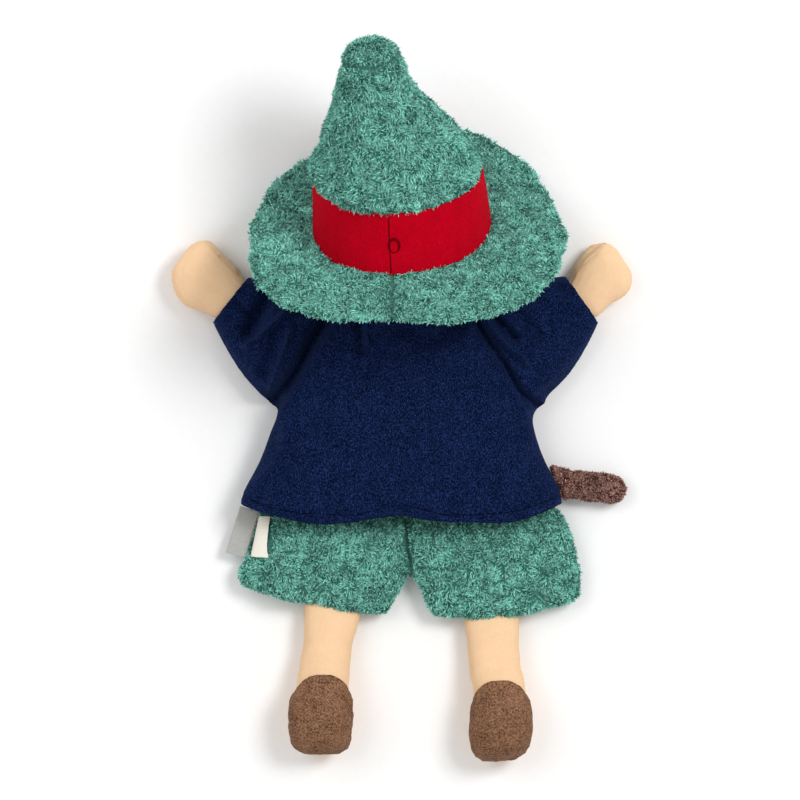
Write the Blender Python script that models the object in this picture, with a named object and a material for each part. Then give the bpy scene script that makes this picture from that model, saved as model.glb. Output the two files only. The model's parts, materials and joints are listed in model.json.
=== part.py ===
"""Robber hand puppet, lying on its front with its back up.

Frame: +X is the viewer's right, +Y runs from the feet to the hat's tip, +Z is up.
The origin is on the floor, under the middle of the belly.

The shirt is a hollow glove that is open at its back hem. A hand goes in over the
top of the shorts, the forefinger into the tube in the head and two fingers into
the sleeves and mitts. The hat is tilted back on the head, and the floor presses
the front of its brim flat.
"""

from math import acos, asin, atan2, cos, degrees, pi, radians, sin, sqrt

import bpy
from mathutils import Matrix, Vector

MM = 0.001

# Cloths and the clearance between pieces that are sewn or pressed together
GAP = 0.3 * MM
FLEECE = 1.8 * MM
JERSEY = 1.4 * MM
RIBBON = 0.5 * MM

# Shirt: a flattened tube from the hem up to the neck
HEM_Y = -62 * MM
ARMPIT_Y = -4.5 * MM
HEM_HALF_WIDTH = 81 * MM
ARMPIT_HALF_WIDTH = 64 * MM
TORSO_SHIFT = 1.2 * MM
SIDE_SEAM_Z = 14 * MM
SHIRT_HEIGHT = 37 * MM
HEM_CORNER_RISE = 10 * MM
HEM_MIDDLE_RISE = 4.5 * MM
FRONT_HEM_RISE = 8 * MM
GATHER_DEPTH = 1.1 * MM
GATHER_COUNT = 7

# Raglan seam: half width between the two seams at the shirt's shoulder and neck
SHOULDER_HALF_WIDTH = 46 * MM
YOKE_HALF_WIDTH = 33 * MM

# Sleeves and mitts
CUFF_PLACE = {"left": (-85.4 * MM, 50.6 * MM), "right": (91.5 * MM, 50.8 * MM)}
CUFF_HALF_WIDTH = 14.2 * MM
CUFF_HALF_DEPTH = 11.5 * MM
SLEEVE_FOLD = 1.5 * MM
SLEEVE_FULL = {"left": 3.2 * MM, "right": 4.8 * MM}
ARM_RAISE = {"left": radians(38), "right": radians(35)}
MITT_LENGTH = {"left": 33.5 * MM, "right": 29 * MM}
MITT_SHIFT = {"left": 1.2 * MM, "right": 3.6 * MM}
MITT_HALF_WIDTH = 15.2 * MM
MITT_HALF_DEPTH = 9 * MM
MITT_TUCK = 8 * MM
THUMB_BULGE = 3.2 * MM

# Head, neck and the tube for a finger
HEAD_RADIUS = 42 * MM
HEAD_CENTRE = Vector((-1.0 * MM, 82.8 * MM, 46 * MM))
HEAD_TILT = radians(30)
NECK_RADIUS = 14 * MM
NECK_LENGTH = 8.5 * MM
NECKLINE_RADIUS = 24.5 * MM
FINGER_RADIUS = 9 * MM
FINGER_DEPTH = 48 * MM
TUBE_WALL = 1.2 * MM

# Face, on the side that lies on the floor
NOSE_RADIUS = 6 * MM
NOSE_HEIGHT = 4.6 * MM
NOSE_DROP = 12 * MM
EYE_RADIUS = 2.6 * MM
EYE_HEIGHT = 1.5 * MM
EYE_DROP = 5.5 * MM
EYE_SPREAD = 12 * MM
BEARD_THICKNESS = 3.4 * MM

# Hat
HAT_ROLL = radians(4)
HAT_SEAT = 6 * MM
BAND_BOTTOM_RADIUS = HEAD_RADIUS + 2.5 * MM
BAND_TOP_RADIUS = HEAD_RADIUS + 0.4 * MM
BAND_HEIGHT = 30 * MM
BRIM_THICKNESS = 6 * MM
BRIM_DROOP = radians(17)
BRIM_MIDDLE = (3 * MM, 88 * MM)
# The brim's edge in plan round BRIM_MIDDLE: degrees from the right side, and reach in millimetres
BRIM_EDGE = [
    (-180, 78.2), (-163, 79.9), (-154, 80.1), (-147, 75.4), (-136, 66.5), (-122, 58.2),
    (-99, 48.6), (-83, 49.9), (-56, 58.3), (-42, 66.9), (-29, 74.3), (-17, 79.4), (-7, 80.7),
    (1, 77.0), (13, 73.8), (25, 67.3), (37, 62.8), (50, 58.6), (77, 51.4), (110, 50.0),
    (130, 54.5), (143, 58.9), (152, 64.3), (161, 68.9), (170, 73.1), (180, 78.2),
]
CROWN_HEIGHT = 65.5 * MM
CROWN_RADIUS = HEAD_RADIUS + 0.2 * MM
CROWN_TOP_RADIUS = 14.8 * MM
CROWN_LEAN = 7.2 * MM
CROWN_RISE = 7 * MM
TIP_HEIGHT = 7 * MM
STITCH_RING_RADIUS = 3.1 * MM
STITCH_RING_OFFSET = -3.6 * MM
STITCH_RING_THREAD = 0.5 * MM

# Shorts: two leg pieces that meet at the centre seam
SHORTS_SEAM_X = 3.8 * MM
SHORTS_TOP_Y = -42 * MM
SHORTS_LEFT_REACH = 78.5 * MM
SHORTS_RIGHT_REACH = 90 * MM
CROTCH_Y = -87.5 * MM
SHORTS_DEPTH = 18 * MM
HEM_BOW = {"left": 3 * MM, "right": 5.5 * MM}

# Legs and feet
LEG_DEPTH = 19 * MM
LEG_SEAT = GAP
FOOT_DEPTH = 31 * MM
SOLE_THICKNESS = 1.8 * MM

# Club at the right side seam, and the two labels at the left
CLUB_LENGTH = 33.5 * MM
CLUB_RADIUS = 7.4 * MM
CLUB_Y = -40.5 * MM
CLUB_SLOPE = radians(-6)
CLUB_COLLAR = 1.0 * MM
TAG_WIDTH = 9.5 * MM
TAG_LENGTH = 23 * MM
TAG_TOP_Y = -57 * MM
LABEL_LENGTH = 20 * MM

# Mesh fineness
TORSO_ROWS = 18
ARMPIT_ROW = 8
BACK_COLUMNS = 28
FRONT_COLUMNS = 14
NECK_ARC_STEPS = 3
HAT_STEPS = 40

COLOURS = {
    "teal_plush": (0.16, 0.40, 0.33),
    "red_jersey": (0.46, 0.002, 0.012),
    "dark_red_thread": (0.22, 0.002, 0.008),
    "navy_fleece": (0.008, 0.015, 0.055),
    "skin_jersey": (0.90, 0.62, 0.38),
    "brown_fleece": (0.24, 0.12, 0.065),
    "brown_terry": (0.16, 0.075, 0.055),
    "grey_satin": (0.34, 0.34, 0.33),
    "white_satin": (0.78, 0.75, 0.68),
    "black_thread": (0.012, 0.011, 0.011),
    "card_tube": (0.55, 0.47, 0.36),
}
CLOTH_ROUGHNESS = 0.9


# Small tools for curves and meshes


def lerp(a, b, t):
    return a + (b - a) * t


def smoothstep(a, b, x):
    t = min(1.0, max(0.0, (x - a) / (b - a)))
    return t * t * (3 - 2 * t)


def through(rows, key):
    """A smooth curve through rows of (key, value), read at one key. Values are numbers or Vectors."""
    last = len(rows) - 1
    if key <= rows[0][0]:
        return rows[0][1]
    if key >= rows[last][0]:
        return rows[last][1]
    i = max(k for k in range(last) if rows[k][0] <= key)
    span = rows[i + 1][0] - rows[i][0]
    t = (key - rows[i][0]) / span

    def slope(k):
        low, high = max(k - 1, 0), min(k + 1, last)
        return (rows[high][1] - rows[low][1]) / (rows[high][0] - rows[low][0])

    a, b = rows[i][1], rows[i + 1][1]
    return (
        a * (2 * t**3 - 3 * t**2 + 1)
        + slope(i) * (span * (t**3 - 2 * t**2 + t))
        + b * (3 * t**2 - 2 * t**3)
        + slope(i + 1) * (span * (t**3 - t**2))
    )


def signed_power(value, power):
    return (abs(value) ** power) * (1 if value >= 0 else -1)


def oval(angle, fullness):
    """A point of a unit superellipse: fullness 2 is an ellipse, and more is squarer."""
    power = 2 / fullness
    return signed_power(cos(angle), power), signed_power(sin(angle), power)


def material_of(name):
    found = bpy.data.materials.get(name)
    if found:
        return found
    made = bpy.data.materials.new(name)
    made.use_nodes = True
    shader = made.node_tree.nodes["Principled BSDF"]
    shader.inputs["Base Color"].default_value = (*COLOURS[name], 1)
    shader.inputs["Roughness"].default_value = CLOTH_ROUGHNESS
    shader.inputs["Metallic"].default_value = 0
    return made


def add_piece(name, points, faces, material, parent=None):
    """Makes one named object from points and faces, with its faces pointing out."""
    mesh = bpy.data.meshes.new(name)
    mesh.from_pydata([tuple(p) for p in points], [], faces)
    mesh.validate()
    mesh.materials.append(material_of(material))
    piece = bpy.data.objects.new(name, mesh)
    bpy.context.scene.collection.objects.link(piece)
    turn_faces_out(mesh)
    mesh.shade_smooth()
    mesh.set_sharp_from_angle(angle=radians(50))
    piece.parent = parent
    return piece


def turn_faces_out(mesh):
    """Flips every face if the closed mesh has a negative volume."""
    mesh.calc_loop_triangles()
    at = [v.co for v in mesh.vertices]
    volume = sum(
        at[a].dot(at[b].cross(at[c])) for a, b, c in (t.vertices for t in mesh.loop_triangles)
    )
    if volume < 0:
        mesh.flip_normals()


def strips(first, second, count, closed):
    """Quads between two rows of the same count, given the index at which each row starts."""
    last = count if closed else count - 1
    return [
        (first + i, first + (i + 1) % count, second + (i + 1) % count, second + i)
        for i in range(last)
    ]


def end_face(start, count):
    """Strips across one ring of points, from one half of it to the other, so that the end follows its rim."""
    strips_across = []
    for i in range(count // 2):
        face = [start + i, start + i + 1, start + count - i - 1, start + (count - i) % count]
        strips_across.append(tuple(dict.fromkeys(face)))
    return strips_across


def add_tube(name, rings, material, parent=None, closed_ends=True):
    """A solid through closed rings of points. With closed_ends off, the last ring joins the first."""
    count = len(rings[0])
    points = [p for ring in rings for p in ring]
    faces = []
    for i in range(len(rings) - 1):
        faces += strips(i * count, (i + 1) * count, count, True)
    if closed_ends:
        faces += [tuple(reversed(face)) for face in end_face(0, count)]
        faces += end_face((len(rings) - 1) * count, count)
    else:
        faces += strips((len(rings) - 1) * count, 0, count, True)
    return add_piece(name, points, faces, material, parent)


def add_sheet(name, outer, inner, material, parent=None):
    """A cloth panel with thickness, from two grids of points: its outer and its inner face."""
    rows, columns = len(outer), len(outer[0])
    points = [p for row in outer for p in row] + [p for row in inner for p in row]
    under = rows * columns
    faces = []
    for r in range(rows - 1):
        faces += strips(r * columns, (r + 1) * columns, columns, False)
        faces += [
            tuple(reversed(f))
            for f in strips(under + r * columns, under + (r + 1) * columns, columns, False)
        ]
    rim = list(range(columns))
    rim += [r * columns + columns - 1 for r in range(1, rows)]
    rim += [(rows - 1) * columns + c for c in range(columns - 2, -1, -1)]
    rim += [r * columns for r in range(rows - 2, 0, -1)]
    for i, a in enumerate(rim):
        b = rim[(i + 1) % len(rim)]
        faces.append((b, a, under + a, under + b))
    return add_piece(name, points, faces, material, parent)


def add_turned(name, profile, steps, material, parent=None, closed=False, start=0.0):
    """A solid turned round Z from (radius, height) points. Open profiles start and end on the axis."""
    if closed:
        rings = [
            [Vector((r * cos(a), r * sin(a), z)) for r, z in profile]
            for a in (start + 2 * pi * i / steps for i in range(steps))
        ]
        return add_tube(name, rings, material, parent, closed_ends=False)
    points = [Vector((0, 0, profile[0][1]))]
    for r, z in profile[1:-1]:
        points += [
            Vector((r * cos(start + 2 * pi * i / steps), r * sin(start + 2 * pi * i / steps), z))
            for i in range(steps)
        ]
    points.append(Vector((0, 0, profile[-1][1])))
    last_ring = 1 + (len(profile) - 3) * steps
    faces = [(0, 1 + (i + 1) % steps, 1 + i) for i in range(steps)]
    for k in range(len(profile) - 3):
        faces += strips(1 + k * steps, 1 + (k + 1) * steps, steps, True)
    faces += [
        (len(points) - 1, last_ring + i, last_ring + (i + 1) % steps) for i in range(steps)
    ]
    return add_piece(name, points, faces, material, parent)


def arc(radius, first, last, steps):
    """(radius, height) points of a circle about the origin, by angle from the top."""
    return [
        (radius * sin(lerp(first, last, i / steps)), radius * cos(lerp(first, last, i / steps)))
        for i in range(steps + 1)
    ]


# Head and hat frames

HEAD_AXIS = Vector((0, cos(HEAD_TILT), sin(HEAD_TILT)))
HEAD_BACK = Vector((0, -sin(HEAD_TILT), cos(HEAD_TILT)))


def head_matrix(roll=0.0):
    """Local Z runs up through the hat, and local Y is where the face looks, towards the floor."""
    turn = Matrix.Rotation(roll, 4, "Z") @ Matrix.Rotation(HEAD_TILT - pi / 2, 4, "X")
    return Matrix.Translation(HEAD_CENTRE) @ turn


# Shirt

NECK_REACH = sqrt(HEAD_RADIUS**2 - NECK_RADIUS**2)
NECKLINE_REACH = sqrt((HEAD_RADIUS + GAP) ** 2 - (NECKLINE_RADIUS - FLEECE) ** 2)
NECKLINE = HEAD_CENTRE - HEAD_AXIS * NECKLINE_REACH


def torso_row(v):
    """The shirt's outer cross-section at v, from 0 at the hem to 1 at the neckline on the head.

    Returns its centre, half width, height above and below the centre, tilt, and
    half width at the raglan seam.
    """
    armpit_v = ARMPIT_ROW / TORSO_ROWS
    rise = SHIRT_HEIGHT - SIDE_SEAM_Z
    low = SIDE_SEAM_Z + 1.2 * MM
    if v <= armpit_v:
        s = v / armpit_v
        y = lerp(HEM_Y, ARMPIT_Y, s)
        flare = 1 - smoothstep(-0.25, 1.1, s)
        half = lerp(ARMPIT_HALF_WIDTH, HEM_HALF_WIDTH, min(1.0, flare * 1.12))
        up = lerp(rise * 0.94, rise, smoothstep(0, 0.6, s))
        return Vector((TORSO_SHIFT, y, SIDE_SEAM_Z)), half, up, low, 0.0, half
    s = (v - armpit_v) / (1 - armpit_v)
    y = through([(0, ARMPIT_Y), (0.5, 22 * MM), (0.8, 41 * MM), (1, NECKLINE.y)], s)
    z = through([(0, SIDE_SEAM_Z), (0.5, SIDE_SEAM_Z + 3 * MM),
                 (0.8, NECKLINE.z - 5 * MM), (1, NECKLINE.z)], s)
    half = through([(0, ARMPIT_HALF_WIDTH), (0.25, ARMPIT_HALF_WIDTH - 3 * MM),
                    (0.55, ARMPIT_HALF_WIDTH - 12 * MM), (0.8, YOKE_HALF_WIDTH * 1.15),
                    (1, NECKLINE_RADIUS)], s)
    up = through([(0, rise), (0.55, rise - 1 * MM), (0.8, rise - 0.5 * MM),
                  (1, NECKLINE_RADIUS)], s)
    down = through([(0, low), (0.55, low + 2 * MM), (0.8, NECKLINE_RADIUS - 4 * MM),
                    (1, NECKLINE_RADIUS)], s)
    tilt = HEAD_TILT * smoothstep(0.3, 1.0, s)
    middle = lerp(SHOULDER_HALF_WIDTH, YOKE_HALF_WIDTH, 0.5)
    raglan = through([(0, ARMPIT_HALF_WIDTH), (0.12, ARMPIT_HALF_WIDTH * 0.9),
                      (0.35, SHOULDER_HALF_WIDTH), (0.6, middle),
                      (0.8, YOKE_HALF_WIDTH * 0.97), (1, NECKLINE_RADIUS * 0.82)], s)
    return Vector((lerp(TORSO_SHIFT, HEAD_CENTRE.x, s), y, z)), half, up, down, tilt, min(raglan, half)


def torso_fullness(v, back):
    """How square the cross-section is: flat on the floor at the belly, round at the neckline."""
    round_off = smoothstep(0.7, 0.95, v)
    return lerp(2.5 if back else 4.0, 2.0, round_off)


def gathers(v, angle):
    """Small pleats that run down the back from the neckline and die out over the shoulder blades."""
    strength = smoothstep(0.62, 0.86, v) * (1 - smoothstep(0.9, 0.99, v))
    return GATHER_DEPTH * strength * sin(angle) * cos(2 * GATHER_COUNT * angle)


def hem_shift(x, half, back):
    """How far the hem is above HEM_Y at x: it rises at the side seams, and at the back in the middle."""
    corner = HEM_CORNER_RISE * abs(x / half) ** 5
    if not back:
        return FRONT_HEM_RISE + 0.2 * corner
    middle = HEM_MIDDLE_RISE * cos(min(pi / 2, abs(x) / (26 * MM) * pi / 2)) ** 2
    return corner + middle


def torso_point(v, angle, inset=0.0):
    """A point of the shirt at v and angle: 0 is the right side seam, 90 degrees the middle of the back."""
    centre, half, up, down, tilt, _ = torso_row(v)
    back = sin(angle) >= 0
    across, rise = oval(angle, torso_fullness(v, back))
    depth = (up if back else down) - inset + (gathers(v, angle) if back else 0)
    x = across * (half - inset)
    height = rise * depth
    point = centre + Vector((x, -height * sin(tilt), height * cos(tilt)))
    fade = (1 - smoothstep(0, 0.4, v)) ** 2
    point.y += hem_shift(x, half, back) * fade
    floor = inset
    point.z = max(point.z, floor)
    return point


def raglan_angle(v, back):
    """The angle at which the raglan seam cuts the cross-section at v."""
    _, half, _, _, _, raglan = torso_row(v)
    fullness = torso_fullness(v, back)
    return acos(min(1.0, (raglan / half)) ** (fullness / 2))


def seam_margin(v):
    """Half the clearance at the side seam, as an angle."""
    _, half, up, _, _, _ = torso_row(v)
    return asin(min(0.5, (GAP * 0.6 / up) ** 1.25))


def panel_grid(back, inset, columns):
    """Rows of points of the back or front panel, between the side seams and then the raglan seams."""
    grid = []
    for r in range(TORSO_ROWS + 1):
        v = r / TORSO_ROWS
        neck_ease = radians(2.2) * smoothstep(0.75, 0.95, v)
        first = max(raglan_angle(v, back) + neck_ease, seam_margin(v))
        row = []
        for c in range(columns + 1):
            angle = lerp(first, pi - first, c / columns)
            row.append(torso_point(v, angle if back else -angle, inset))
        grid.append(row)
    return grid


def make_shirt_panels():
    for name, back, columns in (
        ("shirt_back", True, BACK_COLUMNS),
        ("shirt_front", False, FRONT_COLUMNS),
    ):
        add_sheet(
            name,
            panel_grid(back, 0.0, columns),
            panel_grid(back, FLEECE, columns),
            "navy_fleece",
        )


# Sleeves and mitts


def arm_frame(side):
    """The cuff's centre, the arm's outward direction and the direction across it, upward in plan."""
    sign = -1 if side == "left" else 1
    raise_angle = ARM_RAISE[side]
    along = Vector((sign * cos(raise_angle), sin(raise_angle), 0))
    across = Vector((sign * -sin(raise_angle), cos(raise_angle), 0))
    return Vector((*CUFF_PLACE[side], CUFF_HALF_DEPTH)), along, across


def raglan_ring(side, inset):
    """The armhole: up the back seam, along the neckline and down the front seam."""
    rows = range(ARMPIT_ROW, TORSO_ROWS + 1)
    mirror = side == "left"
    ring = []
    for r in rows:
        v = r / TORSO_ROWS
        angle = raglan_angle(v, True)
        ring.append(torso_point(v, pi - angle if mirror else angle, inset))
    top = raglan_angle(1.0, True)
    for i in range(1, NECK_ARC_STEPS):
        angle = lerp(top, -top, i / NECK_ARC_STEPS)
        ring.append(torso_point(1.0, pi - angle if mirror else angle, inset))
    for r in reversed(rows):
        v = r / TORSO_ROWS
        angle = -raglan_angle(v, False)
        ring.append(torso_point(v, pi - angle if mirror else angle, inset))
    return ring[:-1]


def cuff_ring(side, inset, reach, count, scale=1.0):
    """A ring round the arm at a distance along it from the cuff, from the lower edge over the back."""
    centre, along, across = arm_frame(side)
    ring = []
    for i in range(count):
        angle = -pi + 2 * pi * i / count
        width, rise = oval(angle, 2.3)
        ring.append(
            centre
            + along * reach
            + across * width * (CUFF_HALF_WIDTH * scale - inset)
            + Vector((0, 0, -rise * (CUFF_HALF_DEPTH * scale - inset)))
        )
    return ring


def sleeve_rings(side):
    """Rings from the armhole to the cuff. The cloth creases where the arm is raised."""
    seam = raglan_ring(side, 0.0)
    count = len(seam)
    cuff = cuff_ring(side, 0.0, 0.0, count)
    _, along, across = arm_frame(side)
    steps = 9
    rings = []
    for k in range(steps + 1):
        t = k / steps
        ring = []
        for i in range(count):
            point = seam[i].lerp(cuff[i], t)
            turn = -pi + 2 * pi * i / count
            over = max(0.0, -sin(turn))
            crease = sin(pi * t) * cos(2 * pi * (1.9 * t + 0.12 * cos(turn)) + 0.6)
            bulge = sin(pi * t) * 2.2 * MM
            point.z += over * (SLEEVE_FOLD * crease + bulge)
            point += across * (min(0.0, cos(turn)) * sin(pi * t) * SLEEVE_FULL[side])
            if k == 0:
                point += along * GAP * 1.8
            point.z = max(point.z, 0.0)
            ring.append(point)
        rings.append(ring)
    return rings


def lining(rings, depth):
    """The inner face of a cloth tube: every point moved in by depth, square to the cloth."""
    last, count = len(rings) - 1, len(rings[0])
    normals, outwardness = [], 0.0
    for k, ring in enumerate(rings):
        middle = sum(ring, Vector()) / count
        row = []
        for i, point in enumerate(ring):
            near = max(k, 1)
            along = rings[min(near + 1, last)][i] - rings[near - 1][i]
            around = rings[near][(i + 1) % count] - rings[near][i - 1]
            row.append(along.cross(around).normalized())
            outwardness += row[-1].dot((point - middle).normalized())
        normals.append(row)
    inward = -depth if outwardness > 0 else depth
    return [[p + n * inward for p, n in zip(*pair)] for pair in zip(rings, normals)]


def make_sleeves():
    for side in ("left", "right"):
        outer = sleeve_rings(side)
        inner = lining(outer, FLEECE)
        add_tube(
            f"sleeve_{side}", outer + inner[::-1], "navy_fleece", closed_ends=False
        )


def mitt_rings(side, inset):
    """Rings from the tucked wrist to the fingertips, with the thumb as a bulge low on the upper edge."""
    centre, along, across = arm_frame(side)
    length = MITT_LENGTH[side]
    wrist_width = CUFF_HALF_WIDTH - FLEECE - GAP
    wrist_depth = CUFF_HALF_DEPTH - FLEECE - GAP
    shape = [
        (-MITT_TUCK, wrist_width - 0.4 * MM, wrist_depth - 0.4 * MM),
        (0.0, wrist_width, wrist_depth),
        (0.3 * length, lerp(wrist_width, MITT_HALF_WIDTH, 0.6), MITT_HALF_DEPTH),
        (0.55 * length, MITT_HALF_WIDTH, MITT_HALF_DEPTH),
        (0.75 * length, MITT_HALF_WIDTH * 0.95, MITT_HALF_DEPTH * 0.92),
        (0.9 * length, MITT_HALF_WIDTH * 0.73, MITT_HALF_DEPTH * 0.7),
        (0.98 * length, MITT_HALF_WIDTH * 0.42, MITT_HALF_DEPTH * 0.42),
    ]
    widths = [(reach, width) for reach, width, _ in shape]
    depths = [(reach, depth) for reach, _, depth in shape]
    reaches = [-MITT_TUCK, -0.4 * MM]
    reaches += [length * t for t in (0.09, 0.24, 0.39, 0.54, 0.68, 0.79, 0.88, 0.94, 0.98)]
    count = 18
    rings = []
    for reach in reaches:
        reach = min(reach, length * 0.98 - inset)
        width, depth = through(widths, reach) - inset, through(depths, reach) - inset
        thumb = THUMB_BULGE * smoothstep(1 * MM, 8 * MM, reach) * (
            1 - smoothstep(15 * MM, 24 * MM, reach)
        )
        shift = MITT_SHIFT[side] * smoothstep(0, 12 * MM, reach)
        ring = []
        for i in range(count):
            angle = 2 * pi * i / count
            w, d = oval(angle, 2.2)
            low_edge = max(0.0, cos(angle - radians(-25))) ** 4
            side_step = w * width + thumb * low_edge + shift
            point = centre + along * reach + across * side_step + Vector((0, 0, d * depth))
            ring.append(point)
        rings.append(ring)
    return rings


def make_mitts():
    """Each mitt is a hollow jersey bag that is open at the wrist."""
    for side in ("left", "right"):
        outer, inner = mitt_rings(side, 0.0), mitt_rings(side, JERSEY)
        rings = outer[::-1] + inner
        count = len(rings[0])
        points = [p for ring in rings for p in ring]
        faces = []
        joint = len(outer) - 1
        for k in range(len(rings) - 1):
            if k != joint:
                faces += strips(k * count, (k + 1) * count, count, True)
        faces += strips(joint * count, (joint + 1) * count, count, True)
        faces.append(tuple(reversed(range(count))))
        faces.append(tuple((len(rings) - 1) * count + i for i in range(count)))
        add_piece(f"mitt_{side}", points, faces, "skin_jersey")


# Head, face and finger tube


def make_head(frame):
    """A stuffed ball with a short neck and a blind bore for the finger tube."""
    bore = FINGER_RADIUS + TUBE_WALL + GAP
    neck_end = -(NECK_REACH + NECK_LENGTH)
    bore_top = neck_end + FINGER_DEPTH + GAP + TUBE_WALL
    neck_angle = pi - asin(NECK_RADIUS / HEAD_RADIUS)
    profile = arc(HEAD_RADIUS, 0, neck_angle, 14)
    profile += [(NECK_RADIUS, neck_end), (bore, neck_end), (bore, bore_top), (0, bore_top)]
    add_turned("head", profile, 28, "skin_jersey", frame)


def make_finger_tube(frame):
    """A thin tube with a closed end, pushed into the neck for the forefinger."""
    end = -(NECK_REACH + NECK_LENGTH)
    top = end + FINGER_DEPTH
    outer = FINGER_RADIUS + TUBE_WALL
    profile = [
        (0, top + TUBE_WALL),
        (outer, top + TUBE_WALL),
        (outer, end),
        (FINGER_RADIUS, end),
        (FINGER_RADIUS, top),
        (0, top),
    ]
    add_turned("finger_tube", profile, 16, "card_tube", frame)


def on_head(across, drop):
    """A matrix whose Z points out of the face at a distance across it and below its middle."""
    sideways = asin(across / HEAD_RADIUS)
    down = asin(drop / HEAD_RADIUS)
    turn = Matrix.Rotation(-sideways, 4, "Z") @ Matrix.Rotation(-pi / 2 - down, 4, "X")
    return turn


def add_button(name, radius, height, place, material, frame, steps):
    """A low dome, sewn to the head with its flat side inwards."""
    seat = HEAD_RADIUS + GAP
    profile = [(0, height)]
    profile += [
        (radius * sin(a), height * cos(a)) for a in (pi / 2 * i / 4 for i in range(1, 5))
    ]
    profile += [(radius * 0.8, -0.1 * height * 0), (0, 0)]
    profile = [(r, z + seat) for r, z in profile if not (z == 0 and r == radius * 0.8)]
    piece = add_turned(name, profile, steps, material, frame)
    piece.matrix_local = place
    return piece


def make_face(frame):
    add_button("nose", NOSE_RADIUS, NOSE_HEIGHT, on_head(0, NOSE_DROP), "skin_jersey", frame, 16)
    for side, sign in (("left", 1), ("right", -1)):
        add_button(
            f"eye_{side}", EYE_RADIUS, EYE_HEIGHT,
            on_head(sign * EYE_SPREAD, EYE_DROP), "black_thread", frame, 12,
        )


def make_beard(frame):
    """A patch of terry round the chin, between the cheeks and under the nose."""
    columns, rows = 14, 5
    grids = []
    for radius in (HEAD_RADIUS + GAP + BEARD_THICKNESS, HEAD_RADIUS + GAP):
        grid = []
        for r in range(rows + 1):
            row = []
            for c in range(columns + 1):
                sideways = lerp(-1, 1, c / columns)
                yaw = sideways * radians(62)
                top = radians(118 - 9 * abs(sideways) ** 2)
                bottom = radians(139 - 19 * abs(sideways) ** 3)
                polar = lerp(top, bottom, r / rows)
                edge = max(abs(sideways), abs(2 * r / rows - 1)) > 0.98
                reach = radius if radius == HEAD_RADIUS + GAP or not edge else radius * 0.96
                row.append(
                    Vector((sin(polar) * sin(yaw), sin(polar) * cos(yaw), cos(polar))) * reach
                )
            grid.append(row)
        grids.append(grid)
    add_sheet("beard", grids[0], grids[1], "brown_terry", frame)


# Hat


def make_band(frame):
    """The red jersey ring between brim and crown."""
    low, high = HAT_SEAT, HAT_SEAT + BAND_HEIGHT
    profile = [
        (BAND_BOTTOM_RADIUS, low),
        (lerp(BAND_BOTTOM_RADIUS, BAND_TOP_RADIUS, 0.45), lerp(low, high, 0.5)),
        (BAND_TOP_RADIUS, high),
        (BAND_TOP_RADIUS - JERSEY, high),
        (BAND_BOTTOM_RADIUS - JERSEY, low),
    ]
    add_turned("hat_band", profile, HAT_STEPS, "red_jersey", frame, closed=True, start=-pi / 2)


def make_stitch_ring(frame):
    """A ring of dark thread sewn on the band, just beside its back seam."""
    height = HAT_SEAT + BAND_HEIGHT * 0.47
    band_radius = lerp(BAND_BOTTOM_RADIUS, BAND_TOP_RADIUS, 0.45)
    profile = [
        (
            STITCH_RING_RADIUS + STITCH_RING_THREAD * cos(a),
            STITCH_RING_THREAD * sin(a),
        )
        for a in (2 * pi * i / 6 for i in range(6))
    ]
    ring = add_turned("band_stitch_ring", profile, 18, "dark_red_thread", frame, closed=True)
    stand_off = band_radius + GAP + STITCH_RING_THREAD
    turn = Matrix.Rotation(STITCH_RING_OFFSET / band_radius, 4, "Z")
    ring.matrix_local = turn @ Matrix.Translation((0, -stand_off, height)) @ Matrix.Rotation(
        pi / 2, 4, "X"
    )


def crown_radius(t):
    """The crown's radius at t, from 0 at the band to 1 under the tip."""
    return through(
        [
            (0, CROWN_RADIUS),
            (0.12, CROWN_RADIUS * 0.965),
            (0.25, CROWN_RADIUS * 0.87),
            (0.4, CROWN_RADIUS * 0.72),
            (0.52, CROWN_RADIUS * 0.61),
            (0.63, lerp(CROWN_TOP_RADIUS, CROWN_RADIUS, 0.28)),
            (0.74, lerp(CROWN_TOP_RADIUS, CROWN_RADIUS, 0.18)),
            (0.86, lerp(CROWN_TOP_RADIUS, CROWN_RADIUS, 0.09)),
            (1, CROWN_TOP_RADIUS),
        ],
        t,
    )


def crown_ring(t, radius):
    """A ring of the crown, which leans to one side as it rises."""
    base = HAT_SEAT + BAND_HEIGHT + GAP
    shift, lift = -CROWN_LEAN * sin(pi / 2 * t), -CROWN_RISE * t**2
    lean = -CROWN_LEAN * pi / 2 * cos(pi / 2 * t) * smoothstep(0, 0.3, t) / CROWN_HEIGHT
    tilt = -2 * CROWN_RISE * t / CROWN_HEIGHT
    ring = []
    for i in range(HAT_STEPS):
        angle = -pi / 2 + 2 * pi * i / HAT_STEPS
        x, y = radius * cos(angle), radius * sin(angle)
        height = base + CROWN_HEIGHT * t - x * lean - y * tilt
        ring.append(Vector((x + shift, y + lift, height)))
    return ring


def make_crown(frame):
    """The stuffed plush cone. Its underside is hollowed to sit on the top of the head."""
    rows = 12
    rings = [crown_ring(k / rows, crown_radius(k / rows)) for k in range(rows + 1)]
    base = HAT_SEAT + BAND_HEIGHT + GAP
    seat = HEAD_RADIUS + GAP
    inner = []
    opening = sqrt(max(seat**2 - base**2, (4 * MM) ** 2))
    for share, clear in ((1, 1), (0.66, 0.33), (0.33, 0)):
        radius = opening * share
        height = max(sqrt(seat**2 - (opening * clear) ** 2), base)
        inner.append(
            [
                Vector((radius * cos(a), radius * sin(a), height))
                for a in (-pi / 2 + 2 * pi * i / HAT_STEPS for i in range(HAT_STEPS))
            ]
        )
    add_tube("hat_crown", inner[::-1] + rings, "teal_plush", frame)


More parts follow.
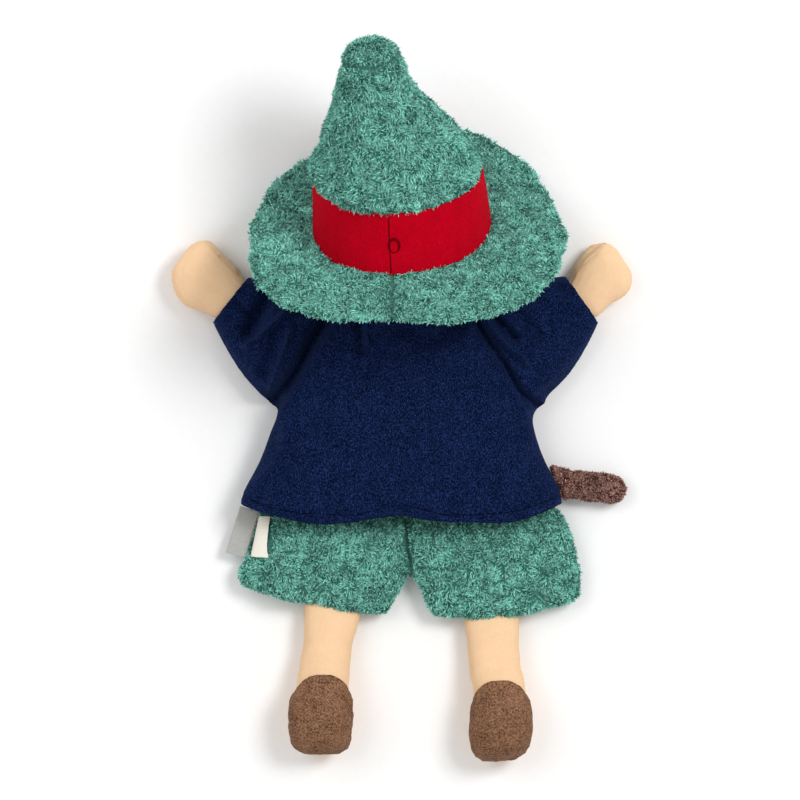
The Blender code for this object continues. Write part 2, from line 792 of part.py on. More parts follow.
def make_tip(frame):
    """The round end piece that closes the crown."""
    base = [p + (Vector((0, 0, GAP))) for p in crown_ring(1.0, CROWN_TOP_RADIUS)]
    middle = sum(base, Vector()) / len(base)
    rings = [base]
    for i in range(1, 5):
        a = pi / 2 * i / 4.6
        rings.append(
            [middle + (p - middle) * cos(a) + Vector((0, 0, TIP_HEIGHT * sin(a))) for p in base]
        )
    add_tube("hat_tip", rings, "teal_plush", frame)


def brim_line(angle, steps, placed):
    """The brim's middle line outwards at one angle, in the world. It lands flat where it meets the floor."""
    radius = BAND_BOTTOM_RADIUS - 1.2 * MM
    start = placed @ Vector(
        (radius * cos(angle), radius * sin(angle), HAT_SEAT - 2 * GAP - BRIM_THICKNESS / 2)
    )
    bearing = atan2(0.65 * sin(angle), cos(angle))
    reach = through(BRIM_EDGE, degrees(bearing)) * MM
    edge = Vector((BRIM_MIDDLE[0] + reach * cos(bearing), BRIM_MIDDLE[1] + reach * sin(bearing), 0))
    outward = placed.to_3x3() @ Vector((cos(angle), sin(angle), -sin(BRIM_DROOP) / cos(BRIM_DROOP)))
    slope = outward.z / sqrt(outward.x**2 + outward.y**2)
    step = (edge - start).to_2d() / steps
    line = [start]
    for _ in range(steps):
        here = line[-1]
        rise = max(slope * step.length, (BRIM_THICKNESS / 2 - here.z) * 0.6)
        line.append(here + Vector((step.x, step.y, rise)))
    return line


def make_brim(frame):
    """A flat ring of doubled plush, longer in front, where the floor bends it."""
    placed = frame.matrix_world
    back = placed.inverted()
    spokes, steps = 44, 7
    lines = [brim_line(2 * pi * i / spokes, steps, placed) for i in range(spokes)]
    rings = []
    for i, line in enumerate(lines):
        before, after = lines[i - 1], lines[(i + 1) % spokes]
        top, bottom = [], []
        for k, point in enumerate(line):
            along = line[min(k + 1, steps)] - line[max(k - 1, 0)]
            around = after[k] - before[k]
            normal = along.cross(around).normalized()
            if normal.dot(placed.to_3x3() @ Vector((0, 0, 1))) < 0:
                normal.negate()
            edge = 1 - (k / steps) ** 6 * 0.65
            half = normal * (BRIM_THICKNESS / 2 * edge)
            top.append(point + half)
            bottom.append(point - half)
        for point in top + bottom:
            point.z = max(point.z, 0.0)
        rings.append([back @ p for p in top + bottom[::-1]])
    add_tube("hat_brim", rings, "teal_plush", frame, closed_ends=False)


# Shorts, legs and feet


def flat_ring(left, right, low, high, count, fullness=2.4):
    """An upright ring between two plan points, from height low to height high."""
    middle = (left + right) / 2
    ring = []
    for i in range(count):
        across, rise = oval(2 * pi * i / count, fullness)
        plan = middle + (right - left) / 2 * across
        height = lerp(low, high, 0.5 + 0.5 * rise)
        ring.append(Vector((plan.x, plan.y, height)))
    return ring


def plan_points(rows):
    """Rows of (key, x, y) in millimetres, as (key, Vector)."""
    return [(key, Vector((x * MM, y * MM, 0))) for key, x, y in rows]


def shorts_edges(side):
    """The outer and the inner edge of one leg piece in plan, from the waist at 0 to the hem at 1."""
    seam = SHORTS_SEAM_X
    waist, crotch = SHORTS_TOP_Y, CROTCH_Y
    if side == "left":
        reach = -SHORTS_LEFT_REACH
        outer = [
            (0, Vector((reach + 17 * MM, waist, 0))),
            (0.25, Vector((reach + 7.5 * MM, waist - 13 * MM, 0))),
            (0.65, Vector((reach + 1 * MM, crotch + 10 * MM, 0))),
            (0.86, Vector((reach - 3.5 * MM, crotch + 2 * MM, 0))),
            (1, Vector((reach - 2.5 * MM, crotch - 4 * MM, 0))),
        ]
        inner_x = seam - GAP / 2
        hem_inner = Vector((-7.2 * MM, crotch - 19 * MM, 0))
        bend = Vector((-0.5 * MM, crotch - 7 * MM, 0))
    else:
        reach = SHORTS_RIGHT_REACH
        outer = [
            (0, Vector((reach - 32 * MM, waist, 0))),
            (0.14, Vector((reach - 25 * MM, waist - 7.5 * MM, 0))),
            (0.28, Vector((reach - 10.5 * MM, waist - 13.5 * MM, 0))),
            (0.65, Vector((reach - 4.5 * MM, crotch + 13 * MM, 0))),
            (0.86, Vector((reach - 0.5 * MM, crotch - 1 * MM, 0))),
            (1, Vector((reach - 0.5 * MM, crotch - 11 * MM, 0))),
        ]
        inner_x = seam + GAP / 2
        hem_inner = Vector((17 * MM, crotch - 20 * MM, 0))
        bend = Vector((10.5 * MM, crotch - 7 * MM, 0))
    inner = [
        (0, Vector((inner_x, waist, 0))),
        (0.35, Vector((inner_x, lerp(waist, crotch, 0.4), 0))),
        (0.72, Vector((inner_x, crotch + 1 * MM, 0))),
        (0.86, bend),
        (1, hem_inner),
    ]
    return outer, inner


def shorts_heights(y):
    """Lowest and highest point of the shorts at a height up the puppet. Inside the shirt they lie on its front."""
    inside = smoothstep(HEM_Y - 3 * MM, HEM_Y + 5 * MM, y)
    low = (FLEECE + GAP) * inside
    top = through(
        [
            (CROTCH_Y - 22 * MM, SHORTS_DEPTH * 0.8),
            (CROTCH_Y, SHORTS_DEPTH),
            (HEM_Y - 4 * MM, SHORTS_DEPTH * 0.92),
            (HEM_Y + 6 * MM, SHORTS_DEPTH * 0.68),
            (SHORTS_TOP_Y, SHORTS_DEPTH * 0.5),
        ],
        y,
    )
    return low, top


def shorts_ring(side, t, count=22):
    outer, inner = shorts_edges(side)
    a, b = through(outer, t), through(inner, t)
    left, right = (a, b) if side == "left" else (b, a)
    low, high = shorts_heights((a.y + b.y) / 2)
    ring = flat_ring(left, right, low, high, count)
    bow = HEM_BOW[side] * smoothstep(0.6, 1, t)
    for point in ring:
        point.y -= bow * sin(pi * (point.x - left.x) / (right.x - left.x))
        point.z = max(point.z, shorts_heights(point.y)[0])
        if side == "left":
            point.x = min(point.x, SHORTS_SEAM_X - GAP / 2)
        else:
            point.x = max(point.x, SHORTS_SEAM_X + GAP / 2)
    return ring


def shorts_hem(side):
    """The last ring of one leg piece, a little drawn in."""
    end = shorts_ring(side, 1.0)
    middle = sum(end, Vector()) / len(end)
    return [middle + (p - middle) * 0.97 for p in end]


def make_shorts():
    for side in ("left", "right"):
        rings = [shorts_ring(side, k / 11) for k in range(11)] + [shorts_hem(side)]
        add_tube(f"shorts_{side}", rings, "teal_plush")


LEG_STATIONS = {
    "left": [
        (0.00, -48.2, -102.0, -18.5, -107.3),
        (0.12, -48.6, -112.0, -20.3, -114.5),
        (0.28, -49.0, -122.6, -23.2, -123.2),
        (0.42, -51.3, -134.0, -23.9, -135.0),
        (0.56, -53.4, -148.0, -25.2, -148.0),
        (0.70, -54.8, -158.5, -24.7, -158.5),
        (0.84, -53.4, -169.8, -26.0, -169.3),
        (0.93, -50.8, -175.0, -28.6, -175.0),
        (1.00, -44.5, -178.6, -34.0, -178.6),
    ],
    "right": [
        (0.00, 31.2, -110.8, 60.8, -107.8),
        (0.12, 33.0, -117.0, 60.6, -115.0),
        (0.28, 34.2, -125.6, 60.2, -124.0),
        (0.42, 34.8, -138.5, 61.6, -136.5),
        (0.56, 37.0, -151.0, 63.2, -148.5),
        (0.70, 36.2, -161.8, 65.3, -159.5),
        (0.84, 36.9, -172.6, 64.2, -170.2),
        (0.93, 39.8, -178.6, 60.8, -177.0),
        (1.00, 46.0, -182.4, 53.5, -182.0),
    ],
}


def leg_plan(side, t):
    """The left and right edge of a leg in plan at t, from the shorts at 0 to the toes at 1."""
    rows = LEG_STATIONS[side]
    left = through(plan_points([(k, x, y) for k, x, y, _, _ in rows]), t)
    right = through(plan_points([(k, x, y) for k, _, _, x, y in rows]), t)
    return left, right


def leg_heights(t):
    """Lowest and highest point of a leg at t: the ankle swells into the foot, whose sole faces up."""
    low = through([(0, 1.5 * MM), (0.12, 0.3 * MM), (0.25, 0), (1, 0)], t)
    high = through(
        [
            (0, SHORTS_DEPTH * 0.72),
            (0.14, LEG_DEPTH * 0.97),
            (0.3, LEG_DEPTH),
            (0.42, lerp(LEG_DEPTH, FOOT_DEPTH, 0.45)),
            (0.58, FOOT_DEPTH * 0.97),
            (0.7, FOOT_DEPTH),
            (0.84, FOOT_DEPTH * 0.9),
            (0.93, FOOT_DEPTH * 0.72),
            (1, FOOT_DEPTH * 0.42),
        ],
        t,
    )
    return max(low, 0.0), high


def leg_point(side, t, angle, grow=0.0):
    left, right = leg_plan(side, t)
    low, high = leg_heights(t)
    middle, half = (left + right) / 2, (right - left) / 2
    across, rise = oval(angle, 2.3)
    plan = middle + half * (1 + grow / half.length) * across
    height = (low + high) / 2 + ((high - low) / 2 + grow) * rise
    return Vector((plan.x, plan.y, max(height, 0.0)))


def make_legs():
    """Each leg is one stuffed jersey tube that ends in the foot."""
    count, rows = 18, 14
    for side in ("left", "right"):
        rings = [
            [leg_point(side, k / rows, 2 * pi * i / count) for i in range(count)]
            for k in range(rows + 1)
        ]
        hem = sorted((p.x, p.y) for p in shorts_hem(side) if p.z >= SHORTS_DEPTH * 0.4)
        for point in rings[0]:
            point.y = through(hem, point.x) - LEG_SEAT
        add_tube(f"leg_{side}", rings, "skin_jersey")


def make_soles():
    """Brown patches over the soles, with a rounded heel edge near the ankle."""
    columns, rows = 12, 8
    for side in ("left", "right"):
        grids = []
        for grow in (GAP + SOLE_THICKNESS, GAP):
            grid = []
            for r in range(rows + 1):
                row = []
                for c in range(columns + 1):
                    sideways = lerp(-1, 1, c / columns)
                    angle = pi / 2 - sideways * radians(78)
                    heel = 0.45 + 0.14 * sideways**2
                    t = lerp(heel, 0.985, r / rows)
                    ease = 0.8 * MM * smoothstep(0.84, 0.93, t)
                    row.append(leg_point(side, t, angle, grow + ease))
                grid.append(row)
            grids.append(grid)
        add_sheet(f"sole_{side}", grids[0], grids[1], "brown_fleece")


# Club and labels


def shirt_side(y):
    """How far out the shirt's right side seam is at a height up the puppet."""
    armpit_v = ARMPIT_ROW / TORSO_ROWS
    seam = [torso_point(armpit_v * k / 30, 0.0) for k in range(31)]
    return through([(p.y, p.x) for p in seam], y)


def make_club():
    """A stuffed terry club, caught in the right side seam, and the plain collar at its root."""
    root_x = shirt_side(CLUB_Y - CLUB_RADIUS - CLUB_COLLAR) + 3 * GAP
    along = Vector((cos(CLUB_SLOPE), sin(CLUB_SLOPE), 0))
    across = Vector((-sin(CLUB_SLOPE), cos(CLUB_SLOPE), 0))
    shape = [
        (0.0, 0.86),
        (0.12, 0.92),
        (0.35, 0.96),
        (0.65, 1.0),
        (0.82, 0.95),
        (0.92, 0.74),
        (0.975, 0.45),
        (1.0, 0.16),
    ]
    count = 14
    root = Vector((root_x, CLUB_Y, CLUB_RADIUS))

    def ring(reach, radius, flat=1.0):
        return [
            root
            + along * reach
            + across * (radius * cos(a))
            + Vector((0, 0, radius * flat * sin(a)))
            for a in (2 * pi * i / count for i in range(count))
        ]

    stations = [0.0, 0.06, 0.2, 0.35, 0.5, 0.65, 0.8, 0.89, 0.95, 0.985, 1.0]
    rings = [ring(CLUB_LENGTH * t, CLUB_RADIUS * through(shape, t)) for t in stations]
    for point in rings[0]:
        point.x = shirt_side(point.y) + 3 * GAP
    add_tube("club", rings, "brown_terry")
    collar_length = 1.6 * MM
    inner_radius = CLUB_RADIUS * through(shape, 0.08) + GAP
    walls = [
        ring(0.0, inner_radius + CLUB_COLLAR),
        ring(collar_length, inner_radius + CLUB_COLLAR),
        ring(collar_length, inner_radius),
        ring(0.0, inner_radius),
    ]
    for k, wall in enumerate(walls):
        for point in wall:
            point.z = max(point.z, 0.0)
            if k in (0, 3):
                point.x = shirt_side(point.y) + 3 * GAP
    add_tube("club_collar", walls, "brown_fleece", closed_ends=False)


def shorts_side(y):
    """The left side edge of the shorts at a height up the puppet: its plan x and its height."""
    rings = [shorts_ring("left", k / 40) for k in range(41)]
    edge = [min(ring, key=lambda p: p.x) for ring in rings]
    nearest = min(edge, key=lambda p: abs(p.y - y))
    return nearest


def make_tag():
    """A folded ribbon tab in the left side seam, left bare."""
    top, bottom = shorts_side(TAG_TOP_Y), shorts_side(TAG_TOP_Y - TAG_LENGTH)
    layer, slot = RIBBON, 0.4 * MM
    height = (top.z + bottom.z) / 2
    profile = [
        (0, layer + slot / 2),
        (-TAG_WIDTH, layer + slot / 2),
        (-TAG_WIDTH - layer, 0),
        (-TAG_WIDTH, -layer - slot / 2),
        (0, -layer - slot / 2),
        (0, -slot / 2),
        (-TAG_WIDTH + layer, -slot / 2),
        (-TAG_WIDTH + layer, slot / 2),
        (0, slot / 2),
    ]
    along = (bottom - top).normalized()
    out = Vector((-along.y, along.x, 0)).normalized()
    if out.x > 0:
        out.negate()
    rings = []
    for k in range(3):
        base = top.lerp(bottom, k / 2) + out * (GAP + 0.5 * MM)
        rings.append([base - out * x + Vector((0, 0, z + height - base.z)) for x, z in profile])
    add_tube("ribbon_tag", rings, "grey_satin")


def make_label():
    """A soft white care label that folds back over the shorts, left bare."""
    columns, rows = 6, 6
    count = 120
    grids = []
    for lift in (GAP + RIBBON, GAP):
        grid = []
        for r in range(rows + 1):
            t = lerp(0.31, 0.31 + LABEL_LENGTH / (66 * MM), r / rows)
            ring = shorts_ring("left", t, count)
            middle = sum(ring, Vector()) / count
            row = []
            for c in range(columns + 1):
                wave = 0.9 * sin(2 * pi * r / rows)
                turn = int(round(count * (0.465 - (0.1 + 0.008 * wave) * c / columns)))
                point = ring[turn]
                normal = (ring[turn - 1] - ring[turn + 1]).cross(Vector((0, 1, 0))).normalized()
                if normal.dot(point - middle) < 0:
                    normal.negate()
                row.append(point + normal * lift)
            grid.append(row)
        grids.append(grid)
    add_sheet("care_label", grids[0], grids[1], "white_satin")


# Assembly


def clear_scene():
    for thing in list(bpy.data.objects):
        bpy.data.objects.remove(thing)


def add_frame(name, matrix):
    frame = bpy.data.objects.new(name, None)
    bpy.context.scene.collection.objects.link(frame)
    frame.matrix_world = matrix
    return frame


def main():
    clear_scene()
    head_frame = add_frame("head_frame", head_matrix())
    hat_frame = add_frame("hat_frame", head_matrix(HAT_ROLL))
    bpy.context.view_layer.update()
    make_shirt_panels()
    make_sleeves()
    make_mitts()
    make_head(head_frame)
    make_finger_tube(head_frame)
    make_face(head_frame)
    make_beard(head_frame)
    make_band(hat_frame)
    make_stitch_ring(hat_frame)
    make_crown(hat_frame)
    make_tip(hat_frame)
    make_brim(hat_frame)
    make_shorts()
    make_legs()
    make_soles()
    make_club()
    make_tag()
    make_label()


main()
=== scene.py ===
# %% [markdown]
# # A robber hand puppet, lying on its front
#
# The real puppet is sewn from five cloths: curly teal plush for the hat and shorts, red
# jersey for the hat's band, navy fleece for the shirt, beige jersey for the skin and brown
# fleece and terry for the soles and the club. Each cloth is built in two steps: a soft body
# whose folds are in the mesh, and then what the eye reads as that cloth, which is pile,
# nap, knit or thread.

import json

import bmesh
import bpy
import numpy as np
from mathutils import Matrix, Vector
from mathutils.bvhtree import BVHTree
from mathutils.kdtree import KDTree

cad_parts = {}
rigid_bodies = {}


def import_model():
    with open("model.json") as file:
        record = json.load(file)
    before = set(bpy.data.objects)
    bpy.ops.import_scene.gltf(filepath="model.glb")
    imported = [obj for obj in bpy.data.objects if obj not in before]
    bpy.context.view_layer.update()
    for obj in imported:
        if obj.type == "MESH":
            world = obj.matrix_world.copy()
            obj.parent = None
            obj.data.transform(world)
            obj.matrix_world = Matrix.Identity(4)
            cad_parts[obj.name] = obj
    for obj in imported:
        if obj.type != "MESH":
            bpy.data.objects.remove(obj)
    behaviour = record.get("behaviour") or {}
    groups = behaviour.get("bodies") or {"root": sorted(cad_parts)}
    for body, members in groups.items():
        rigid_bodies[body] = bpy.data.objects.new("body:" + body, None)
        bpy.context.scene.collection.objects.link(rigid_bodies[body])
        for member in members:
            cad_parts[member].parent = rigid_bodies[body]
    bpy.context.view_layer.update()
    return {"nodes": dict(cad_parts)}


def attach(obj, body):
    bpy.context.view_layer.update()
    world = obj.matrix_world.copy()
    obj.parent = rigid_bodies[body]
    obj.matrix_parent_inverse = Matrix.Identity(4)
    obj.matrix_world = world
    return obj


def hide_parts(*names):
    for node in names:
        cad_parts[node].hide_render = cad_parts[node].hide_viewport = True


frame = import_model()
MM = 0.001
print("solids:", len(frame["nodes"]))

# %% [markdown]
# ## Smooth random fields
#
# Cloth is never quite even. A field of smooth random values, with a stated cell size, gives
# folds at 20 mm and clumps of pile at 3 mm. The values come from a hash of the lattice
# corners, so every run is the same.


# %% Value noise in space
def noise3(points, cell, seed):
    """Smooth values from -1 to 1 at each point; cell is the size of a bump in metres."""
    q = points / cell
    corner = np.floor(q).astype(np.int64)
    f = q - corner
    f = f * f * (3 - 2 * f)
    total = np.zeros(len(points))
    for dx in (0, 1):
        for dy in (0, 1):
            for dz in (0, 1):
                h = (corner[:, 0] + dx) * 374761393 + (corner[:, 1] + dy) * 668265263
                h = (h + (corner[:, 2] + dz) * 1274126177 + seed * 97531) & 0xFFFFFFFF
                h = ((h ^ (h >> 13)) * 1103515245) & 0xFFFFFFFF
                value = ((h ^ (h >> 16)) & 0xFFFF) / 32767.5 - 1
                wx = f[:, 0] if dx else 1 - f[:, 0]
                wy = f[:, 1] if dy else 1 - f[:, 1]
                wz = f[:, 2] if dz else 1 - f[:, 2]
                total += value * wx * wy * wz
    return total


def ramp(low, high, x):
    """0 below low, 1 above high, and a smooth step between."""
    t = np.clip((x - low) / (high - low), 0, 1)
    return t * t * (3 - 2 * t)


print("noise at the origin:", round(float(noise3(np.zeros((1, 3)), 0.01, 1)[0]), 3))

# %% [markdown]
# ## Soft bodies
#
# Each soft piece starts from the space its solid holds. A voxel remesh gives even, small
# faces, and smoothing takes the facets away. Folds, seams and dents are then moves of the
# points in millimetres, mostly along their normals, like pressing cloth with a finger.


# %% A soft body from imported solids
def soft_body(name, nodes, voxel, rounds, grow=0.0, keep=1.0):
    """A new piece that stands for the nodes: evenly meshed, smooth, and riding on the root.

    With grow, each solid is thickened first, so that solids a hair apart become one piece.
    keep is the share of the faces that stays, where the shape is plain."""
    bm = bmesh.new()
    for node in nodes:
        part = bmesh.new()
        part.from_mesh(frame["nodes"][node].data)
        bmesh.ops.remove_doubles(part, verts=part.verts, dist=1e-6)
        part.normal_update()
        for vert in part.verts:
            vert.co += vert.normal * grow * MM
        whole = bpy.data.meshes.new(node)
        part.to_mesh(whole)
        part.free()
        bm.from_mesh(whole)
    mesh = bpy.data.meshes.new(name)
    bm.to_mesh(mesh)
    bm.free()
    piece = bpy.data.objects.new(name, mesh)
    bpy.context.scene.collection.objects.link(piece)
    even = piece.modifiers.new("even", "REMESH")
    even.mode = "VOXEL"
    even.voxel_size = voxel * MM
    soft = piece.modifiers.new("soft", "SMOOTH")
    soft.factor = 0.5
    soft.iterations = rounds
    if keep < 1:
        thin = piece.modifiers.new("thin", "DECIMATE")
        thin.ratio = keep
    apply_all(piece)
    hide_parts(*nodes)
    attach(piece, "root")
    return piece


def apply_all(piece):
    """Makes the modifiers' result the piece's own mesh."""
    depsgraph = bpy.context.evaluated_depsgraph_get()
    mesh = bpy.data.meshes.new_from_object(piece.evaluated_get(depsgraph))
    mesh.name = piece.name
    piece.modifiers.clear()
    piece.data = mesh
    mesh.shade_smooth()


print("soft bodies are ready to be made")

# %% [markdown]
# ## Points of a piece
#
# Cloth is shaped here by moving a mesh's points, as numbers in one array. The table, which is
# the floor, holds the puppet up, so no point goes below it.

# %% Reading and moving a piece's points
FLOOR = 0.0


def points_of(piece):
    """The places of a piece's points, in metres, one row a point."""
    co = np.empty(len(piece.data.vertices) * 3)
    piece.data.vertices.foreach_get("co", co)
    return co.reshape(-1, 3)


def normals_of(piece):
    """Which way the surface faces at each point."""
    n = np.empty(len(piece.data.vertices) * 3)
    piece.data.vertices.foreach_get("normal", n)
    return n.reshape(-1, 3)


def move_points(piece, points):
    """Puts the points at new places, on or above the floor."""
    points[:, 2] = np.maximum(points[:, 2], FLOOR)
    piece.data.vertices.foreach_set("co", points.ravel())
    piece.data.update()


def press(piece, depth):
    """Moves each point along its normal by depth millimetres, and never through the floor."""
    move_points(piece, points_of(piece) + normals_of(piece) * (depth * MM)[:, None])


print("lowest height of a point:", FLOOR)

# %% [markdown]
# ## Lines seen from above
#
# Seams and folds run along the cloth, so each is given as a line on the plan, as a pattern
# maker would chalk it. What a point does depends on how far it is from that line.


# %% Distance from a chalked line
def side_of(p, line):
    """Distance in plan from each point to a line of corners, positive on the line's left."""
    best, side = np.full(len(p), 1e9), np.ones(len(p))
    for (ax, ay), (bx, by) in zip(line, line[1:]):
        dx, dy = bx - ax, by - ay
        t = np.clip(((p[:, 0] - ax) * dx + (p[:, 1] - ay) * dy) / (dx * dx + dy * dy), 0, 1)
        qx, qy = p[:, 0] - ax - t * dx, p[:, 1] - ay - t * dy
        away = np.hypot(qx, qy)
        nearer = away < best
        best = np.where(nearer, away, best)
        side = np.where(nearer, np.where(dx * qy - dy * qx >= 0, 1.0, -1.0), side)
    return best * side


def bell(x, middle, width):
    """1 where x is at the middle, and falling smoothly to nothing a few widths away."""
    return np.exp(-(((x - middle) / width) ** 2))


print("a point 5 mm right of a line:", side_of(np.array([[5.0, 0, 0]]), [(0, -9), (0, 9)])[0])

# %% [markdown]
# ## Stuffing
#
# A stuffed piece is cloth with air or wadding pushing from inside. A coarse copy of the piece
# is simulated as cloth with pressure and no gravity for twenty frames, from a slightly smaller
# start. How far its points moved, up to a cap, is then given to the fine piece.

# %% Cloth simulation of a stuffed piece
PRESSURE = 4
FRAMES = 20


def stuff(piece, voxel, cap):
    """Swells a piece by simulation, where cap is the most a point moves, in millimetres.

    The copy that is simulated has cells of one voxel."""
    coarse = bpy.data.objects.new(piece.name + "_coarse", piece.data.copy())
    bpy.context.scene.collection.objects.link(coarse)
    even = coarse.modifiers.new("even", "REMESH")
    even.mode = "VOXEL"
    even.voxel_size = voxel * MM
    apply_all(coarse)
    press(coarse, np.full(len(coarse.data.vertices), -0.8 * cap))
    start = points_of(coarse)
    cloth_mod = coarse.modifiers.new("cloth", "CLOTH")
    cloth_mod.settings.use_pressure = True
    cloth_mod.settings.uniform_pressure_force = PRESSURE
    cloth_mod.settings.effector_weights.gravity = 0
    cloth_mod.settings.quality = 5
    cloth_mod.point_cache.frame_start = 1
    cloth_mod.point_cache.frame_end = FRAMES
    for step in range(1, FRAMES + 1):
        bpy.context.scene.frame_set(step)
    apply_all(coarse)
    moved = points_of(coarse) - start
    moved -= moved.mean(0)
    reach = np.linalg.norm(moved, axis=1, keepdims=True)
    moved *= np.minimum(1, cap * MM / np.maximum(reach, 1e-9))
    tree = KDTree(len(start))
    for i, point in enumerate(start):
        tree.insert(point, i)
    tree.balance()
    fine = points_of(piece)
    change = np.zeros_like(fine)
    for i, point in enumerate(fine):
        found = tree.find_n(point, 4)
        weight = np.array([1 / (d + 0.2 * MM) for _, _, d in found])
        change[i] = (moved[[k for _, k, _ in found]] * weight[:, None]).sum(0) / weight.sum()
    change -= normals_of(piece) * 0.5 * cap * MM
    move_points(piece, fine + change)
    bpy.data.objects.remove(coarse)
    bpy.context.scene.frame_set(1)
    most = float(np.linalg.norm(change, axis=1).max() / MM)
    print(piece.name, "swelled by up to", round(most, 2), "mm")


print("stuffing takes", FRAMES, "frames at pressure", PRESSURE)

# %% [markdown]
# ## Cloth materials
#
# A cloth's colour is uneven at the size of its fibres, its surface is rough, and its loose
# fibres catch light at grazing angles, which is the pale rim along a fleece shirt's edge.
# One function mixes two colours by two sizes of noise, adds the bump and sets that sheen.


# %% Woven, knitted and napped cloth
def link(tree, a, b):
    """Joins an output of one shader node to an input of another."""
    tree.links.new(a, b)


def cloth(
    name,
    dark,
    light,
    grain,
    bump,
    sheen=0.3,
    tint=(1, 1, 1),
    rough=0.9,
    stretch=(1, 1, 1),
    patch=0.25,
    spread=0.18,
    middle=0.5,
):
    """A cloth between two colours. grain is the fibres' size and bump their height, in millimetres.

    A small spread gives more contrast, and a high middle leaves more of the dark colour."""
    mat = bpy.data.materials.new(name)
    mat.use_nodes = True
    tree = mat.node_tree
    shader = tree.nodes["Principled BSDF"]
    shader.inputs["Roughness"].default_value = rough
    shader.inputs["Specular IOR Level"].default_value = 0.04
    shader.inputs["Sheen Weight"].default_value = sheen
    shader.inputs["Sheen Roughness"].default_value = 0.22
    shader.inputs["Sheen Tint"].default_value = (*tint, 1)
    place = tree.nodes.new("ShaderNodeTexCoord")
    scale = tree.nodes.new("ShaderNodeMapping")
    scale.inputs["Scale"].default_value = stretch
    link(tree, place.outputs["Object"], scale.inputs["Vector"])
    fine = tree.nodes.new("ShaderNodeTexNoise")
    fine.inputs["Scale"].default_value = 1000 / grain
    fine.inputs["Detail"].default_value = 3
    fine.inputs["Roughness"].default_value = 0.6
    broad = tree.nodes.new("ShaderNodeTexNoise")
    broad.inputs["Scale"].default_value = 1000 / (grain * 9)
    broad.inputs["Detail"].default_value = 4
    for texture in (fine, broad):
        link(tree, scale.outputs["Vector"], texture.inputs["Vector"])
    both = tree.nodes.new("ShaderNodeMix")
    both.inputs["Factor"].default_value = patch
    link(tree, fine.outputs["Fac"], both.inputs["A"])
    link(tree, broad.outputs["Fac"], both.inputs["B"])
    level = tree.nodes.new("ShaderNodeMapRange")
    level.inputs["From Min"].default_value = middle - spread
    level.inputs["From Max"].default_value = middle + spread
    link(tree, both.outputs["Result"], level.inputs["Value"])
    colour = tree.nodes.new("ShaderNodeMix")
    colour.data_type = "RGBA"
    colour.inputs[6].default_value = (*dark, 1)
    colour.inputs[7].default_value = (*light, 1)
    link(tree, level.outputs["Result"], colour.inputs["Factor"])
    link(tree, colour.outputs[2], shader.inputs["Base Color"])
    relief = tree.nodes.new("ShaderNodeBump")
    relief.inputs["Strength"].default_value = 0.8
    relief.inputs["Distance"].default_value = bump * MM
    link(tree, both.outputs["Result"], relief.inputs["Height"])
    link(tree, relief.outputs["Normal"], shader.inputs["Normal"])
    return mat


print("cloth needs a name, two colours and a grain")

# %% [markdown]
# ## The puppet's cloths
#
# Colours are linear red, green and blue. Fleece has a nap of short fibres combed one way, so
# its grain is stretched and its contrast high. Jersey is smooth, satin is a little shiny and
# is ribbed across, and the grounds are what shows between the locks of the pile. The grounds
# are painted darker than the locks, as painted shade for the shadow that falls under them.

# %% Jersey, fleece, satin and thread
NAVY = cloth(
    "navy fleece",
    (0.0008, 0.0040, 0.021),
    (0.0180, 0.0390, 0.152),
    grain=0.52,
    bump=1.5,
    sheen=0.12,
    tint=(0.22, 0.38, 1.0),
    stretch=(1, 0.55, 1),
    patch=0.1,
    spread=0.10,
    middle=0.555,
)
RED = cloth("red jersey", (0.36, 0.0, 0.006), (0.57, 0.0, 0.014), 0.7, 0.3, 0.0, stretch=(1, 0.5, 1))
SKIN = cloth(
    "skin jersey", (0.84, 0.545, 0.325), (0.92, 0.640, 0.395), 0.6, 0.15, 0.15, (1, 0.85, 0.7), rough=0.8
)
SOLE = cloth(
    "brown fleece",
    (0.065, 0.028, 0.014),
    (0.38, 0.200, 0.115),
    grain=0.85,
    bump=1.2,
    sheen=0.2,
    tint=(0.9, 0.7, 0.6),
    patch=0.2,
    spread=0.14,
)
CARD = cloth("grey card", (0.30, 0.26, 0.20), (0.36, 0.31, 0.24), 0.8, 0.1, 0.0)
BLACK = cloth("black thread", (0.010, 0.009, 0.009), (0.022, 0.02, 0.02), 0.5, 0.2, 0.1)
NAVY_THREAD = cloth("navy thread", (0.0004, 0.0012, 0.006), (0.0012, 0.0030, 0.014), 0.5, 0.2, 0.0)
# Dark red: thread for the oval on the band, and painted shade in the groove of its seam.
DARK_RED_THREAD_AND_SEAM_SHADE = cloth("dark red thread", (0.10, 0.0, 0.002), (0.19, 0.0, 0.006), 0.4, 0.3, 0.0)
GREY_SATIN = cloth(
    "grey satin", (0.36, 0.36, 0.345), (0.50, 0.50, 0.48), 0.5, 0.1, 0.1, rough=0.45, stretch=(1, 6, 1)
)
WHITE_SATIN = cloth(
    "white satin", (0.80, 0.76, 0.66), (0.93, 0.90, 0.80), 0.6, 0.1, 0.1, rough=0.6, stretch=(1, 5, 1)
)
# painted shade: the plush ground is darker than its locks, for the shadow under them
SHADED_PLUSH_GROUND = cloth(
    "plush ground", (0.020, 0.085, 0.065), (0.075, 0.250, 0.195), 1.6, 1.2, 0.1, (0.6, 1, 0.9)
)
# painted shade: the terry ground is darker than its curls, for the shadow under them
SHADED_TERRY_GROUND = cloth("terry ground", (0.030, 0.011, 0.008), (0.10, 0.045, 0.035), 1.5, 1.0, 0.1)
print("cloth materials:", len(bpy.data.materials))

# %% [markdown]
# ## Finishing a piece
#
# Each piece is cut from one cloth, so it has one material, and the number of its faces is printed.


# %% One material a piece
def finish_cloth(piece, material):
    """Gives a piece its one material and prints how many faces it has."""
    piece.data.materials.clear()
    piece.data.materials.append(material)
    print(piece.name, len(piece.data.polygons), "faces")


print("pieces can be finished")

# %% [markdown]
# ## Pile
#
# Curly plush is a knitted ground with tens of thousands of fine locks. A lock is dark at its
# root, where no light comes, and pale at its tip. Its own map says how high up the lock a
# point is and which of 64 shades the lock has, so one material colours them all.


